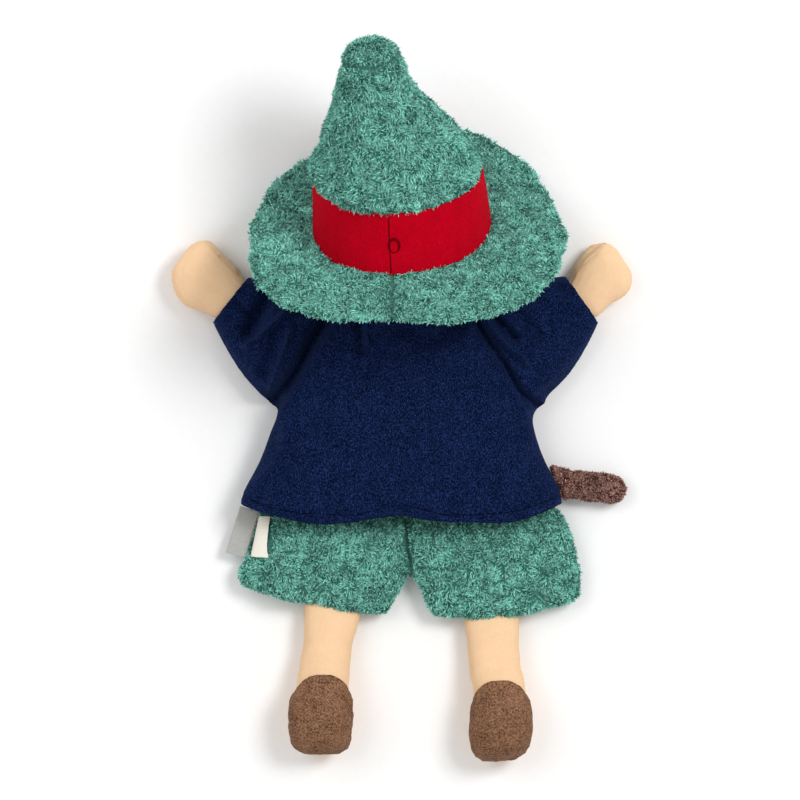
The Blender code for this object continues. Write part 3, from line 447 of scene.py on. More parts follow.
# %% The colour of a lock
SHADES = 64


def lock_material(name, root, middle, tip, sheen):
    """Colour by height up a lock, and lighter or darker by the lock's own shade."""
    mat = bpy.data.materials.new(name)
    mat.use_nodes = True
    tree = mat.node_tree
    shader = tree.nodes["Principled BSDF"]
    shader.inputs["Roughness"].default_value = 0.95
    shader.inputs["Specular IOR Level"].default_value = 0.15
    shader.inputs["Sheen Weight"].default_value = sheen
    shader.inputs["Sheen Tint"].default_value = (*tip, 1)
    where = tree.nodes.new("ShaderNodeUVMap")
    where.uv_map = "OFBake"
    split = tree.nodes.new("ShaderNodeSeparateXYZ")
    link(tree, where.outputs["UV"], split.inputs["Vector"])
    height = tree.nodes.new("ShaderNodeValToRGB")
    height.color_ramp.elements[0].position = 0.0
    height.color_ramp.elements[0].color = (*root, 1)
    height.color_ramp.elements[1].position = 1.0
    height.color_ramp.elements[1].color = (*tip, 1)
    height.color_ramp.elements.new(0.45).color = (*middle, 1)
    link(tree, split.outputs["Y"], height.inputs["Fac"])
    columns = tree.nodes.new("ShaderNodeMath")
    columns.operation = "MULTIPLY"
    columns.inputs[1].default_value = SHADES
    link(tree, split.outputs["X"], columns.inputs[0])
    whole = tree.nodes.new("ShaderNodeMath")
    whole.operation = "FLOOR"
    link(tree, columns.outputs["Value"], whole.inputs[0])
    shade = tree.nodes.new("ShaderNodeMapRange")
    shade.inputs["From Max"].default_value = SHADES - 1
    shade.inputs["To Min"].default_value = 0.45
    shade.inputs["To Max"].default_value = 1.55
    link(tree, whole.outputs["Value"], shade.inputs["Value"])
    tone = tree.nodes.new("ShaderNodeVectorMath")
    tone.operation = "SCALE"
    link(tree, height.outputs["Color"], tone.inputs["Vector"])
    link(tree, shade.outputs["Result"], tone.inputs["Scale"])
    link(tree, tone.outputs["Vector"], shader.inputs["Base Color"])
    return mat


TEAL_LOCKS = lock_material(
    "teal pile", (0.008, 0.062, 0.046), (0.122, 0.405, 0.328), (0.375, 0.800, 0.685), 0.1
)
BROWN_LOCKS = lock_material(
    "terry pile", (0.012, 0.004, 0.002), (0.170, 0.074, 0.057), (0.620, 0.370, 0.310), 0.1
)
print("shades of a lock:", SHADES)

# %% [markdown]
# ## Where the locks grow
#
# The knitting machine sets the locks evenly over the cloth. Here a random place on a triangle
# is chosen as often as the triangle is large, so the locks are as dense on small faces as on
# large ones.


# %% Random places on a piece
def unit(v):
    """The same directions, each one long."""
    return v / np.maximum(np.linalg.norm(v, axis=1, keepdims=True), 1e-12)


def scatter(skin, count, rng):
    """Random points on a mesh, evenly by area, with their smooth normals."""
    mesh = skin.data
    mesh.calc_loop_triangles()
    corners = np.empty(len(mesh.loop_triangles) * 3, np.int32)
    mesh.loop_triangles.foreach_get("vertices", corners)
    corners = corners.reshape(-1, 3)
    at, up = points_of(skin), normals_of(skin)
    a, b, c = at[corners[:, 0]], at[corners[:, 1]], at[corners[:, 2]]
    area = np.linalg.norm(np.cross(b - a, c - a), axis=1)
    total = np.cumsum(area)
    pick = np.searchsorted(total, rng.random(count) * total[-1])
    u, v = rng.random(count), rng.random(count)
    flip = u + v > 1
    u[flip], v[flip] = 1 - u[flip], 1 - v[flip]
    w = np.stack([1 - u - v, u, v], 1)[:, :, None]
    chosen = corners[pick]
    return (at[chosen] * w).sum(1), unit((up[chosen] * w).sum(1))


print("length of a unit vector:", float(np.linalg.norm(unit(np.array([[3.0, 4.0, 0.0]])))))

# %% [markdown]
# ## Locks
#
# Each lock is a narrow blade that bends over, about 0.7 mm wide, because real fibres would be
# finer than the picture can show. Its direction comes mostly from a noise field, so
# neighbouring locks lean together into the swirls that the plush shows, and only partly from
# chance.


# %% Pile on a soft body
def pile(name, skin, count, length, width, swirl, material, slot, seed, keep=None, comb=(0, 0, 0), seams=()):
    """count locks on skin, of that length and width; swirl is the size of the whorls, in mm.

    Along a seam the locks are short, because the stitching holds them down, and painted darker as shade in
    the seam's groove."""
    rng = np.random.default_rng(seed)
    root, up = scatter(skin, int(count * 2.8) if keep else count, rng)
    if keep:
        root, up = (part[keep(root, up)][:count] for part in (root, up))
    n = len(root)
    held_and_shaded = np.ones(n)
    for seam in seams:
        near = np.abs(side_of(root / MM, seam)) + 9 * (up[:, 2] < 0)
        held_and_shaded = np.minimum(held_and_shaded, 0.22 + 0.78 * ramp(0.5, 3.2, near))
    flow = np.stack([noise3(root, swirl * MM, seed + k) for k in (1, 2, 3)], 1)
    flow = flow * 1.7 + np.array(comb)
    flow -= up * (flow * up).sum(1)[:, None]
    chance = rng.normal(size=(n, 3))
    first = unit(up * 0.75 + flow * 0.55 + chance * 0.30)
    second = unit(up * 0.10 + flow * 0.95 + chance * 0.50)
    size = length * MM * (held_and_shaded * (0.7 + 0.6 * rng.random(n)))[:, None]
    root = root - up * 0.25 * MM
    middle = root + first * size * 0.55
    side = unit(np.cross(first, up) + rng.normal(size=(n, 3)) * 0.45)
    radius = width * MM * 0.5 * (0.7 + 0.6 * rng.random(n))[:, None] * side
    end = middle + second * size * 0.55
    verts = np.stack([root - radius * 0.8, root + radius * 0.8, middle + radius, middle - radius, end], 1)
    verts[:, :, 2] = np.maximum(verts[:, :, 2], FLOOR)
    base = np.arange(n)[:, None] * 5
    mesh = bpy.data.meshes.new(name)
    faces = (base + [0, 1, 2, 3]).tolist() + (base + [3, 2, 4]).tolist()
    mesh.from_pydata(verts.reshape(-1, 3).tolist(), [], faces)
    tone = noise3(root, swirl * 1.7 * MM, seed + 9) * 0.2 + rng.normal(size=n) * 0.24 + 0.5
    # painted shade: near a seam the locks are darker, for the shadow in its groove
    tone -= 0.5 * (1 - held_and_shaded)
    shade = np.clip(tone * SHADES, 0, SHADES - 1).astype(int)
    low, high = (shade + 0.2) / SHADES, (shade + 0.8) / SHADES
    quad = np.stack([np.stack([low, high, high, low], 1), np.tile([0.02, 0.02, 0.5, 0.5], (n, 1))], 2)
    tip = np.stack([np.stack([low, high, (low + high) / 2], 1), np.tile([0.5, 0.5, 0.98], (n, 1))], 2)
    layer = mesh.uv_layers.new(name="OFBake")
    layer.data.foreach_set("uv", np.concatenate([quad.reshape(-1, 2), tip.reshape(-1, 2)]).ravel())
    mesh.shade_smooth()
    mesh.materials.append(material)
    piece = bpy.data.objects.new(name, mesh)
    bpy.context.scene.collection.objects.link(piece)
    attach(piece, "root")
    print(name, n, "locks,", n * 3, "triangles")


print("pile is ready to grow")

# %% [markdown]
# ## Thread
#
# A row of stitching is thread that dips in and out of the cloth, so from outside it is a row
# of short dashes. Each dash is a thin bar laid on the piece below it. A closed seam, where two
# cloth edges only meet, is one dark bar without breaks, which is painted shade: it stands for
# the shadow in the seam's groove.


# %% Thread laid on a piece
def thread(name, piece, line, dash, pause, radius, material):
    """Dashes of thread on a line seen from above, dropped onto the piece; all in millimetres."""
    tree = BVHTree.FromObject(piece, bpy.context.evaluated_depsgraph_get())
    line = np.array(line, float)
    far = np.concatenate([[0], np.cumsum(np.hypot(*np.diff(line, axis=0).T))])
    bm = bmesh.new()
    at = 0.0
    while at < far[-1]:
        stops = np.linspace(at, min(at + dash, far[-1]), max(2, int(dash / 0.8)))
        rings = []
        for stop in stops:
            x, y = np.interp(stop, far, line[:, 0]), np.interp(stop, far, line[:, 1])
            x1, y1 = np.interp(stop + 0.1, far, line[:, 0]), np.interp(stop + 0.1, far, line[:, 1])
            hit, normal, _, _ = tree.ray_cast(Vector((x, y, 300)) * MM, Vector((0, 0, -1)))
            if hit is None:
                continue
            along = Vector((x1 - x, y1 - y, 0))
            across = along.cross(normal).normalized() if along.length else normal.orthogonal()
            corners = [(across, 1), (normal, 0.8), (across, -1), (normal, -0.8)]
            rings.append([bm.verts.new(hit + way * k * radius * MM) for way, k in corners])
        for one, two in zip(rings, rings[1:]):
            for i in range(4):
                bm.faces.new((one[i], one[(i + 1) % 4], two[(i + 1) % 4], two[i]))
        if len(rings) > 1:
            bm.faces.new(rings[0][::-1])
            bm.faces.new(rings[-1])
        at += dash + pause
    mesh = bpy.data.meshes.new(name)
    bmesh.ops.recalc_face_normals(bm, faces=bm.faces)
    bm.to_mesh(mesh)
    bm.free()
    mesh.materials.append(material)
    row = bpy.data.objects.new(name, mesh)
    bpy.context.scene.collection.objects.link(row)
    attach(row, "root")
    print(name, len(mesh.polygons), "faces")


print("thread is ready to sew")

# %% [markdown]
# ## Shirt
#
# The shirt is four fleece pieces, a back, a front and two raglan sleeves, sewn into one
# glove. Here the four solids are thickened until they touch, and are meshed as one cloth.

# %% The shirt as one cloth
SHIRT_SOLIDS = ["shirt_back", "shirt_front", "sleeve_left", "sleeve_right"]
shirt = soft_body("shirt_cloth", SHIRT_SOLIDS, 1.06, 5, grow=0.4, keep=0.72)
print("shirt points:", len(shirt.data.vertices))

# %% [markdown]
# ## Where the shirt folds
#
# The raglan seams run from the collar to the armpits, and the sleeves hang loose beside them,
# which makes the deep valley on the left. A simulation would put folds somewhere else, so each
# one is chalked in: a line, how far beside it the fold lies, its width and its height.

# %% Raglan seams and folds, in millimetres
RAGLAN = {
    "left": [(-27.5, 50), (-33.8, 38.1), (-41.2, 26.2), (-47.5, 13.8), (-53.8, 5), (-61.3, -3.1), (-66, -8)],
    "right": [(32.5, 48.5), (38.1, 37.5), (43.8, 27.5), (51.2, 17.5), (57.5, 6.2), (65, -5.6), (69, -11)],
}
FOLDS = [
    (RAGLAN["left"], 1.8, 1.8, 2.2),
    (RAGLAN["left"], -4.0, 3.2, -14.0),
    (RAGLAN["right"], -2.0, 1.6, 1.4),
    (RAGLAN["right"], 1.3, 1.6, -6.0),
    ([(-54, 50), (-57, 44.4), (-66.2, 35), (-77, 27)], 0, 1.6, 4.6),
    ([(-60, 60), (-66, 50), (-71, 42), (-75, 34)], 0, 3.8, -8.0),
    ([(-54, 36), (-56.2, 28.8), (-61.2, 15), (-65, 5)], 0, 1.7, 5.0),
    ([(-61, 33), (-65, 22), (-69, 13)], 0, 2.8, -3.0),
    ([(-83, 52), (-79, 47), (-75, 42)], 0, 1.2, -2.6),
    ([(41, 44), (43.1, 39.4), (48.8, 31.2), (56.2, 24.4), (63, 19.8)], 0, 1.4, 4.6),
    ([(49, 45), (51.2, 41.9), (57.5, 36.2)], 0, 1.3, 2.4),
    ([(46, 44), (52, 36), (57, 31)], 0, 1.8, -5.0),
    ([(57, 44), (63, 38), (68, 32)], 0, 3.2, -4.0),
    ([(77, 60), (80, 56)], 0, 3.0, -2.2),
    ([(51, -16.5), (58, -12), (66, -8.8)], 0, 1.8, 1.6),
    ([(53, -20), (60, -17)], 0, 3.0, -1.6),
    ([(66, -23), (72, -23)], 0, 1.8, -2.0),
    ([(-59, -14), (-58.8, -24), (-62, -31), (-71, -40)], 0, 2.2, 2.6),
    ([(-54, -18), (-54.5, -28), (-60, -37)], 0, 3.2, -2.2),
    ([(-20.5, 42), (-20, 34), (-19.5, 24)], 0, 2.2, -3.6),
    ([(-16.5, 42), (-16.2, 33), (-15.5, 27)], 0, 1.3, 2.2),
    ([(3, 36), (14, 29), (27, 35)], 0, 4.2, -5.0),
    ([(-8, 40), (-3, 30), (2, 22), (4, 15)], 0, 5.0, 2.2),
    ([(33, 42), (34, 33), (37, 24)], 0, 3.4, 1.8),
    ([(-60, -7), (-20, -5), (20, -7), (60, -5)], 3, 9.0, 1.4),
]
print("folds:", len(FOLDS))

# %% [markdown]
# ## Raising the folds
#
# The cloth over a fold rises or sinks by the fold's height. Broad noise is added, because no
# cloth lies flat. Near the table it can't move. Last, the cloth is drawn in at both armpits.

# %% The shirt folded
p = points_of(shirt) / MM
rise = np.zeros(len(p))
for line, place, width, height in FOLDS:
    rise += height * bell(side_of(p, line), place, width)
rise += 1.0 * noise3(p * MM * np.array([1, 0.6, 0]), 19 * MM, 3)
rise += 0.4 * noise3(p * MM * np.array([1, 1, 0]), 8 * MM, 4)
p[:, 2] += rise * ramp(6, 16, p[:, 2])
armpit_right = 4.0 * bell(p[:, 0], 67, 6) * bell(p[:, 1], -2, 5)
armpit_left = 2.0 * bell(p[:, 0], -65, 7) * bell(p[:, 1], -6, 8)
p[:, 0] += armpit_right + armpit_left
move_points(shirt, p * MM)
print("highest fold, in mm:", round(float(rise.max()), 1))

# %% [markdown]
# ## Seams and hem of the shirt
#
# A seam pulls the cloth into a narrow groove. The hem is folded under and sewn, so the cloth
# swells on both sides of the stitching, and a row of dashes of thread lies in the groove.

# %% Grooves and hem stitches
HEM = -62
STITCH_ROW = 4.6
p = points_of(shirt) / MM
above = ramp(0.0, 0.3, normals_of(shirt)[:, 2])


def hem_line(x):
    """The hem's height up the puppet at x, both in millimetres."""
    corner = 10 * np.abs(x / 79.5) ** 5
    middle = 4.5 * np.cos(np.minimum(np.pi / 2, np.abs(x) / 26 * np.pi / 2)) ** 2
    return HEM + corner + middle


depth = np.full(len(p), -0.25)
for side in ("left", "right"):
    depth -= 1.0 * bell(side_of(p, RAGLAN[side]), 0, 0.9) * above
hem = p[:, 1] - hem_line(p[:, 0])
depth += above * (0.5 * bell(hem, 2.2, 1.4) - 1.3 * bell(hem, 4.7, 0.85) + 0.3 * bell(hem, 6.6, 1.2))
depth += 0.7 * np.sin(p[:, 0] / 7.5 + 0.6) * bell(hem, 0, 6)
press(shirt, depth)
finish_cloth(shirt, NAVY)
stitches = [(x, hem_line(x) + STITCH_ROW) for x in np.arange(-75, 77, 1.0)]
thread("hem_stitches", shirt, stitches, 2.2, 0.8, 0.28, NAVY_THREAD)

# %% [markdown]
# ## Mitts
#
# A mitt is beige jersey, a little padded, so it is smooth with a few shallow dents. Its thumb
# lies on its front: from behind only its edge shows beside the palm. What lies beyond that
# edge is pressed back to it, and the blunt corners of the real mitt are drawn out.

# %% The mitts
MITT_SEAM = {
    "left": [(-99, 80), (-95, 76.5), (-86, 68), (-76, 59)],
    "right": [(85, 58), (88.5, 65), (94, 71), (102, 77)],
}
THUMB_DROP = {"left": 0.8, "right": 3.2}
THUMB_EDGE = {
    "left": ((-97.2, 80.1), (0.678, 0.734)),
    "right": ((84.5, 62.4), (-0.804, 0.594)),
}
MITT_BULGE = {
    "left": [((-97, 79), (0, 2.0), 7), ((-105, 51), (-1.7, -2.5), 9)],
    "right": [((104, 80), (0.3, 1.6), 7)],
}


def make_mitt(side, seed):
    """A mitt with its fold, its thumb's straight edge from behind, and its blunt corners."""
    mitt = soft_body(f"mitt_{side}_skin", [f"mitt_{side}"], 0.6, 9, keep=0.45)
    stuff(mitt, 2.4, 0.8)
    p = points_of(mitt) / MM
    depth = 0.4 * noise3(p * MM, 9 * MM, seed)
    seam = side_of(p, MITT_SEAM[side])
    depth -= 1.0 * bell(seam, 0, 0.6) * ramp(0, 0.3, normals_of(mitt)[:, 2])
    press(mitt, depth)
    p = points_of(mitt)
    p[:, 2] -= THUMB_DROP[side] * MM * ramp(0, 1.4, seam) * ramp(2, 8, p[:, 2] / MM)
    (ax, ay), (nx, ny) = THUMB_EDGE[side]
    beyond = (p[:, 0] / MM - ax) * nx + (p[:, 1] / MM - ay) * ny
    p[:, :2] -= np.outer(np.maximum(0, beyond) * 0.8, [nx, ny]) * MM
    for (bx, by), (dx, dy), reach in MITT_BULGE[side]:
        near = bell(np.hypot(p[:, 0] / MM - bx, p[:, 1] / MM - by), 0, reach)
        p[:, :2] += np.outer(near, [dx, dy]) * MM
    move_points(mitt, p)
    finish_cloth(mitt, SKIN)


print("mitts can be made for:", sorted(MITT_SEAM))

# %% [markdown]
# ## Legs and soles
#
# A leg is a stuffed jersey tube that ends in a foot, with a crease at the ankle. Its top goes
# up into the shorts. The sole is a patch of brown fleece sewn on the foot, a little uneven.

# %% The legs and the soles
ANKLE = -134


def make_leg(side, seed):
    """A leg with its foot, and its top inside the shorts."""
    leg = soft_body(f"leg_{side}_skin", [f"leg_{side}"], 1.2, 8)
    p = points_of(leg) / MM
    depth = 0.7 * noise3(p * MM, 12 * MM, seed)
    depth -= 0.5 * bell(p[:, 1], ANKLE, 3.0)
    stuff(leg, 3.0, 1.5)
    press(leg, depth + 0.6)
    p = points_of(leg)
    p[:, 1] += 4 * MM * ramp(-122, -106, p[:, 1] / MM)
    move_points(leg, p)
    finish_cloth(leg, SKIN)


def make_sole(side, seed):
    """The patch of brown fleece on a foot."""
    sole = soft_body(f"sole_{side}_cloth", [f"sole_{side}"], 0.7, 4, keep=0.5)
    p = points_of(sole) / MM
    press(sole, 0.35 * noise3(p * MM, 5 * MM, seed) + 0.15 * noise3(p * MM, 1.6 * MM, 50))
    finish_cloth(sole, SOLE)


for side, seed in (("left", 19), ("right", 21)):
    make_mitt(side, seed)
    make_leg(side, seed + 10)
    make_sole(side, seed + 20)

# %% [markdown]
# ## Head and face
#
# The head is a jersey ball under the hat. It is pressed in where the hat covers it, so that no
# skin comes through the plush. The hat leans on it along an axis that starts inside the head.
# The card tube in the neck takes the forefinger. Nose and eyes are on the side that lies down.

# %% The head, the tube and the face
HAT_FOOT = np.array([-1, 82.8, 46])
HAT_AXIS = np.array([0, 0.866, 0.5])


def along_hat(p):
    """How far up the hat's leaning axis each point lies, in millimetres."""
    return (p - HAT_FOOT) @ HAT_AXIS


head = soft_body("head_skin", ["head"], 1.4, 3, keep=0.25)
p = points_of(head) / MM
press(head, -7.5 * ramp(-12, 0, along_hat(p)))
finish_cloth(head, SKIN)
tube = soft_body("finger_tube_card", ["finger_tube"], 0.7, 1, keep=0.15)
finish_cloth(tube, CARD)
nose = soft_body("nose_skin", ["nose"], 0.5, 4, keep=0.5)
finish_cloth(nose, SKIN)
for side in ("left", "right"):
    eye = soft_body(f"eye_{side}_thread", [f"eye_{side}"], 0.3, 3, keep=0.5)
    finish_cloth(eye, BLACK)

# %% [markdown]
# ## Crown
#
# The crown is a plush cone that has slumped, with a round end piece. Its side seam pulls a
# crease down the right side. Crown and end piece are meshed as one, and the seam between them
# is a groove. The base is fuller than the band, so that the plush hangs over the band's edge.

# %% The crown and its tip
crown = soft_body("hat_crown_plush", ["hat_crown", "hat_tip"], 1.3, 6)
p = points_of(crown) / MM
above = ramp(-0.2, 0.2, normals_of(crown)[:, 2])
DISC_SEAM = [(-30.5, 166.5), (-29, 165), (-22.7, 162.8), (-13, 162.8), (-5.5, 165.3), (-0.5, 170)]
SIDE_SEAM = [(0.5, 172.5), (5.5, 161.5), (11.5, 152), (20, 144.5), (30, 135), (40, 121)]
depth = -1.2 + 1.1 * noise3(p * MM, 14 * MM, 60) + 0.6 * noise3(p * MM, 5 * MM, 61)
for seam in (DISC_SEAM, SIDE_SEAM):
    depth -= 2.0 * bell(side_of(p, seam), 0, 1.2) * above
height = along_hat(p)
depth += 3.6 * (1 - ramp(36, 50, height)) + 0.6 * ramp(85, 95, height)
stuff(crown, 4.0, 1.6)
press(crown, depth)
p = points_of(crown) / MM
base = 1 - ramp(40, 58, height)
p[:, 0] += 2.3 * base - 3.5 * ramp(8, 28, p[:, 0]) * bell(p[:, 1], 143, 9)
p[:, 1] -= 0.8 * base
move_points(crown, p * MM)
finish_cloth(crown, SHADED_PLUSH_GROUND)

# %% [markdown]
# ## Brim
#
# The brim is two layers of plush, thick at its turned edge and wavy, because nothing stiffens
# it. One seam crosses it behind. Its inner rim is moved a little to the right and towards the
# feet, as the band is, so that the two still meet.

# %% The brim
brim = soft_body("hat_brim_plush", ["hat_brim"], 1.3, 5, keep=0.75)
p = points_of(brim) / MM
BRIM_SEAM = [(-4, 66), (-4, 38)]
depth = 1.0 * noise3(p * MM, 16 * MM, 62) + 0.5 * noise3(p * MM, 5 * MM, 63)
out = np.hypot(p[:, 0] - 3, p[:, 1] - 88)
depth -= 1.0 * ramp(46, 56, out)
depth -= 1.4 * bell(side_of(p, BRIM_SEAM), 0, 1.3)
press(brim, depth)
p = points_of(brim) / MM
p[:, 0] += 3.2 * ramp(24, 40, p[:, 0]) * ramp(108, 120, p[:, 1])
from_axis = p - HAT_FOOT
from_axis -= np.outer(from_axis @ HAT_AXIS, HAT_AXIS)
inner = 1 - ramp(50, 61, np.linalg.norm(from_axis, axis=1))
p[:, 0] += 2.0 * inner
p[:, 1] -= 2.4 * inner * ramp(48, 66, p[:, 2])
move_points(brim, p * MM)
finish_cloth(brim, SHADED_PLUSH_GROUND)

# %% [markdown]
# ## Band
#
# The red band is a strip of jersey, sewn round the crown with one seam behind. It is a thin
# sheet. Its lower edge goes down behind the plush of the brim.

# %% The band
band = soft_body("hat_band_cloth", ["hat_band"], 0.7, 5, keep=0.35)
p = points_of(band) / MM
depth = 0.4 * noise3(p * MM, 13 * MM, 64)
depth -= 0.9 * bell(side_of(p, [(-5.2, 92), (-4.2, 60)]), 0, 0.55) * ramp(60, 80, p[:, 2])
press(band, depth)
height = along_hat(p)
p = points_of(band) / MM
lower = (1 - ramp(4, 26, height)) * ramp(30, 60, p[:, 2])
p += np.array([2.3, -1.0, 0]) + np.outer(lower, [0, -3.5, 0.4])
move_points(band, p * MM)
finish_cloth(band, RED)

# %% [markdown]
# ## Stitching on the band
#
# Along the seam, where the cloth edges meet, an unbroken dark red bar is painted shade for its groove, and
# an oval of thread in dark red sits on its right.
# The oval is dropped straight down onto the band, so that it lies on the cloth.

# %% The band's seam and its oval
# painted shade: the seam's groove is drawn as an unbroken bar of dark red
thread("band_seam", band, [(-5.6, 90.5), (-5.4, 81), (-4.2, 60)], 40, 0, 0.34, DARK_RED_THREAD_AND_SEAM_SHADE)
ring = soft_body("band_ring_thread", ["band_stitch_ring"], 0.18, 2, keep=0.6)
RING_FROM, RING_TO = np.array([-4.3, 77.9, 94.4]), np.array([-2.9, 76.0, 94.4])
p = (points_of(ring) / MM - RING_FROM) * np.array([0.85, 1.25, 1.25]) + RING_TO
under = BVHTree.FromObject(band, bpy.context.evaluated_depsgraph_get())
down = Vector((0, 0, -1))
below = [under.ray_cast(Vector((x, y, 300)) * MM, down)[0].z / MM for x, y, _ in p]
p[:, 2] -= (p[:, 2] - np.array(below)).mean() - 0.2
move_points(ring, p * MM)
finish_cloth(ring, DARK_RED_THREAD_AND_SEAM_SHADE)

# %% [markdown]
# ## Pile on the hat
#
# The plush was combed down the crown and out over the brim before it was sewn. The underside
# of the brim is seen only from low down, so its locks are fewer and wider.

# %% Locks on the crown and the brim
PLUSH = {"material": TEAL_LOCKS, "slot": "teal_plush"}


def on_top(at, up):
    """True where the brim faces up, as it is tilted."""
    return up[:, 2] + up[:, 1] * -0.3 > 0.0


def underneath(at, up):
    """True where the brim faces down."""
    return ~on_top(at, up)


crown_way = {"comb": (0.1, -0.6, 0), "seams": (DISC_SEAM, SIDE_SEAM)}
brim_way = {"comb": (0, -0.35, 0), "seams": (BRIM_SEAM,)}
pile("hat_crown_pile", crown, 52000, 2.6, 0.74, 4.4, seed=100, **crown_way, **PLUSH)
pile("hat_brim_pile", brim, 54000, 2.5, 0.75, 4.2, seed=110, keep=on_top, **brim_way, **PLUSH)
pile("hat_brim_pile_under", brim, 16000, 2.6, 1.2, 4.2, seed=120, keep=underneath, **PLUSH)

# %% [markdown]
# ## Shorts
#
# Two plush leg pieces meet in a seam down the middle, which is a soft valley in the pile.
# They are meshed as one cloth, so that the valley is closed. The hem is drawn up between the
# legs, where the seam pulls it.

# %% The shorts
shorts = soft_body("shorts_plush", ["shorts_left", "shorts_right"], 1.4, 6, grow=0.3)
p = points_of(shorts) / MM
CENTRE_SEAM = [(2.5, -60), (3.6, -72), (5.4, -84)]
depth = 0.9 + 1.1 * noise3(p * MM, 15 * MM, 71) + 0.6 * noise3(p * MM, 5 * MM, 72)
depth -= 1.8 * bell(side_of(p, CENTRE_SEAM), 0, 1.4) * (p[:, 2] > 6)
stuff(shorts, 4.0, 1.6)
press(shorts, depth)
p = points_of(shorts)
p[:, 0] += 2.2 * MM * ramp(58, 86, p[:, 0] / MM)
low = 1 - ramp(-98, -86, p[:, 1] / MM)
p[:, 1] += (6.0 * bell(p[:, 0] / MM, 6.5, 5) - 1.0 * bell(p[:, 0] / MM, -14, 7)) * low * MM
move_points(shorts, p)
finish_cloth(shorts, SHADED_PLUSH_GROUND)

# %% [markdown]
# ## Pile on the shorts
#
# Each side has its own pile, as each was cut from its own piece of plush. No locks grow under
# the shirt, where they would come through the fleece, or behind the labels.

# %% Locks on the shorts
SHIRT_COVERS = -0.048
SHORTS_MIDDLE = 0.004


def bare(at):
    """True behind the labels."""
    return (at[:, 0] < -0.0632) & (at[:, 1] > -0.0765) & (at[:, 2] > 0.0085)


def on_left(at, up):
    """True on the left side of the shorts, below the shirt."""
    return (at[:, 1] < SHIRT_COVERS) & (at[:, 0] < SHORTS_MIDDLE) & ~bare(at)


def on_right(at, up):
    """True on the right side of the shorts, below the shirt."""
    return (at[:, 1] < SHIRT_COVERS) & (at[:, 0] >= SHORTS_MIDDLE)


shorts_way = {"comb": (0, -0.25, 0), "seams": (CENTRE_SEAM,)}
for side, seed, keep in (("left", 129, on_left), ("right", 131, on_right)):
    name = f"shorts_{side}_pile"
    pile(name, shorts, 27000, 2.4, 0.74, 3.6, seed=seed, keep=keep, **shorts_way, **PLUSH)

# %% [markdown]
# ## Club
#
# The club is a thin stuffed roll of curly terry, caught in the shirt's side seam and smooth
# only at its root.

# %% The club
club = soft_body("club_terry", ["club", "club_collar"], 0.8, 4, grow=0.25)
p = points_of(club) / MM
press(club, 0.5 * noise3(p * MM, 5 * MM, 80) - 0.9 * ramp(76, 82, p[:, 0]))
p = points_of(club) / MM
p[:, 1] -= 1.6 * ramp(72, 82, p[:, 0])
p[:, 0] -= 2.5 * ramp(90, 112, p[:, 0])
move_points(club, p * MM)
finish_cloth(club, SHADED_TERRY_GROUND)
TERRY = {"material": BROWN_LOCKS, "slot": "brown_terry"}


def past_root(at, up):
    """True on the part of the club that has curls."""
    return (at[:, 0] > 0.0765) | (at[:, 1] < -0.039)


pile("club_pile", club, 8000, 1.8, 0.85, 2.4, seed=140, keep=past_root, **TERRY)

# %% [markdown]
# ## Beard
#
# The beard is a patch of the same terry, on the side that lies down. It isn't seen in the
# photograph, so it is plain. No lock grows into the table.


# %% The beard
def off_table(at, up):
    """True above the table."""
    return at[:, 2] > 0.002


beard = soft_body("beard_terry", ["beard"], 1.0, 3, keep=0.5)
finish_cloth(beard, SHADED_TERRY_GROUND)
pile("beard_pile", beard, 4000, 2.2, 1.0, 2.6, seed=150, keep=off_table, **TERRY)

# %% [markdown]
# ## Labels
#
# Two satin labels are caught in the side seam of the shorts, a grey one and a white one, and
# both are bare here. They are thin sheets. The white one is narrower at its top and its edge is wavy.

# %% The grey tag and the white label
tag = soft_body("ribbon_tag_satin", ["ribbon_tag"], 0.22, 1, keep=0.12)
move_points(tag, points_of(tag) + np.array([1.4, 0, 0]) * MM)
finish_cloth(tag, GREY_SATIN)
label = soft_body("care_label_satin", ["care_label"], 0.25, 2, keep=0.3)
p = points_of(label) / MM
left_edge = -70.9 + 0.2135 * (p[:, 1] + 58.1)
narrowing = 0.78 - 0.26 * ramp(-75, -60, p[:, 1])
p[:, 0] = left_edge + (p[:, 0] + 1.4 - left_edge) * narrowing
p[:, 0] += 0.7 * np.sin((p[:, 1] + 60) / 3.2) * ramp(-70, -64, p[:, 0])
p[:, 1] = -58.5 + (p[:, 1] + 58.5) * 1.18
p[:, 2] += 1.3
move_points(label, p * MM)
finish_cloth(label, WHITE_SATIN)

# %% [markdown]
# ## Table and light
#
# The photograph is taken straight down on a white table with soft light from all round and
# a slightly stronger one from the right. The table is the stage, not a part of the puppet.

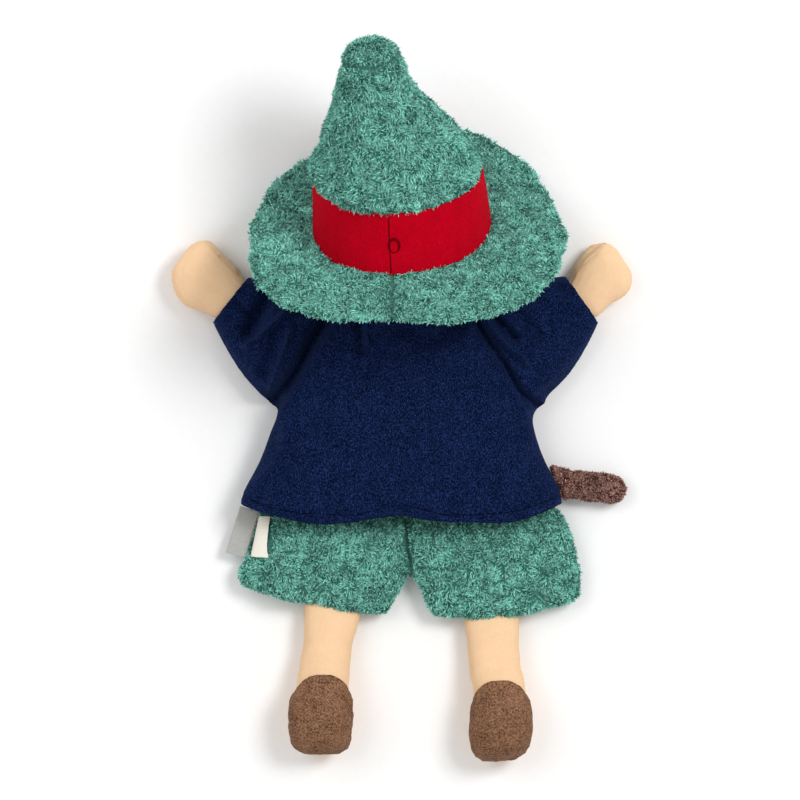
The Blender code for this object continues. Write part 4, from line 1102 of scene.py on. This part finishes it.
# %% The table and the sky
floor_mesh = bpy.data.meshes.new("floor")
floor_mesh.from_pydata([(-6, -6, 0), (6, -6, 0), (6, 6, 0), (-6, 6, 0)], [], [(0, 1, 2, 3)])
floor = bpy.data.objects.new("floor", floor_mesh)
bpy.context.scene.collection.objects.link(floor)
WHITE_TABLE = cloth("white table", (0.93, 0.93, 0.93), (0.95, 0.95, 0.95), grain=3, bump=0.0, sheen=0.0)
floor_mesh.materials.append(WHITE_TABLE)

world = bpy.data.worlds.new("studio")
bpy.context.scene.world = world
world.use_nodes = True
sky = world.node_tree.nodes["Background"]
sky.inputs["Color"].default_value = (1, 1, 1, 1)
sky.inputs["Strength"].default_value = 0.6
print("light from the sky:", round(sky.inputs["Strength"].default_value, 2))

# %% [markdown]
# ## Lamps
#
# The key lamp stands on the right and models the folds. A larger and weaker one on the left
# keeps the shadows open, as a white studio does.


# %% Two soft lamps
def lamp(name, place, size, power):
    """A square soft light at a place in metres, aimed at the puppet's middle."""
    data = bpy.data.lights.new(name, "AREA")
    data.size = size
    data.energy = power
    thing = bpy.data.objects.new(name, data)
    thing.location = place
    thing.rotation_euler = (-thing.location).to_track_quat("-Z", "Y").to_euler()
    bpy.context.scene.collection.objects.link(thing)


lamp("key", (0.9, 0.5, 1.5), 0.6, 16)
lamp("fill", (-1.0, 0.5, 1.6), 1.2, 9)
print("lamps:", len(bpy.data.lights))

# %% [markdown]
# ## Camera
#
# The lens is long and far away, so nothing leans outwards. Half a millimetre on the puppet is
# one pixel of the photograph.

# %% The camera over the table
lens = bpy.data.cameras.new("camera")
lens.sensor_width = 36
lens.lens = 360
lens.clip_end = 50
camera = bpy.data.objects.new("camera", lens)
camera.location = (0, 0, 4.03)
bpy.context.scene.collection.objects.link(camera)
bpy.context.scene.camera = camera
bpy.context.scene.view_settings.view_transform = "Standard"
print("camera height in metres:", round(camera.location.z, 2))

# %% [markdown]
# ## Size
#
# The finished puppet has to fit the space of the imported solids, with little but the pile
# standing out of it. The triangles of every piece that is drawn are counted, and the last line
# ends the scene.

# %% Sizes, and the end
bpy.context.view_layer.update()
total = 0
for thing in bpy.data.objects:
    if thing.type == "MESH" and not thing.hide_render:
        thing.data.calc_loop_triangles()
        total += len(thing.data.loop_triangles)
print("triangles in all:", total)
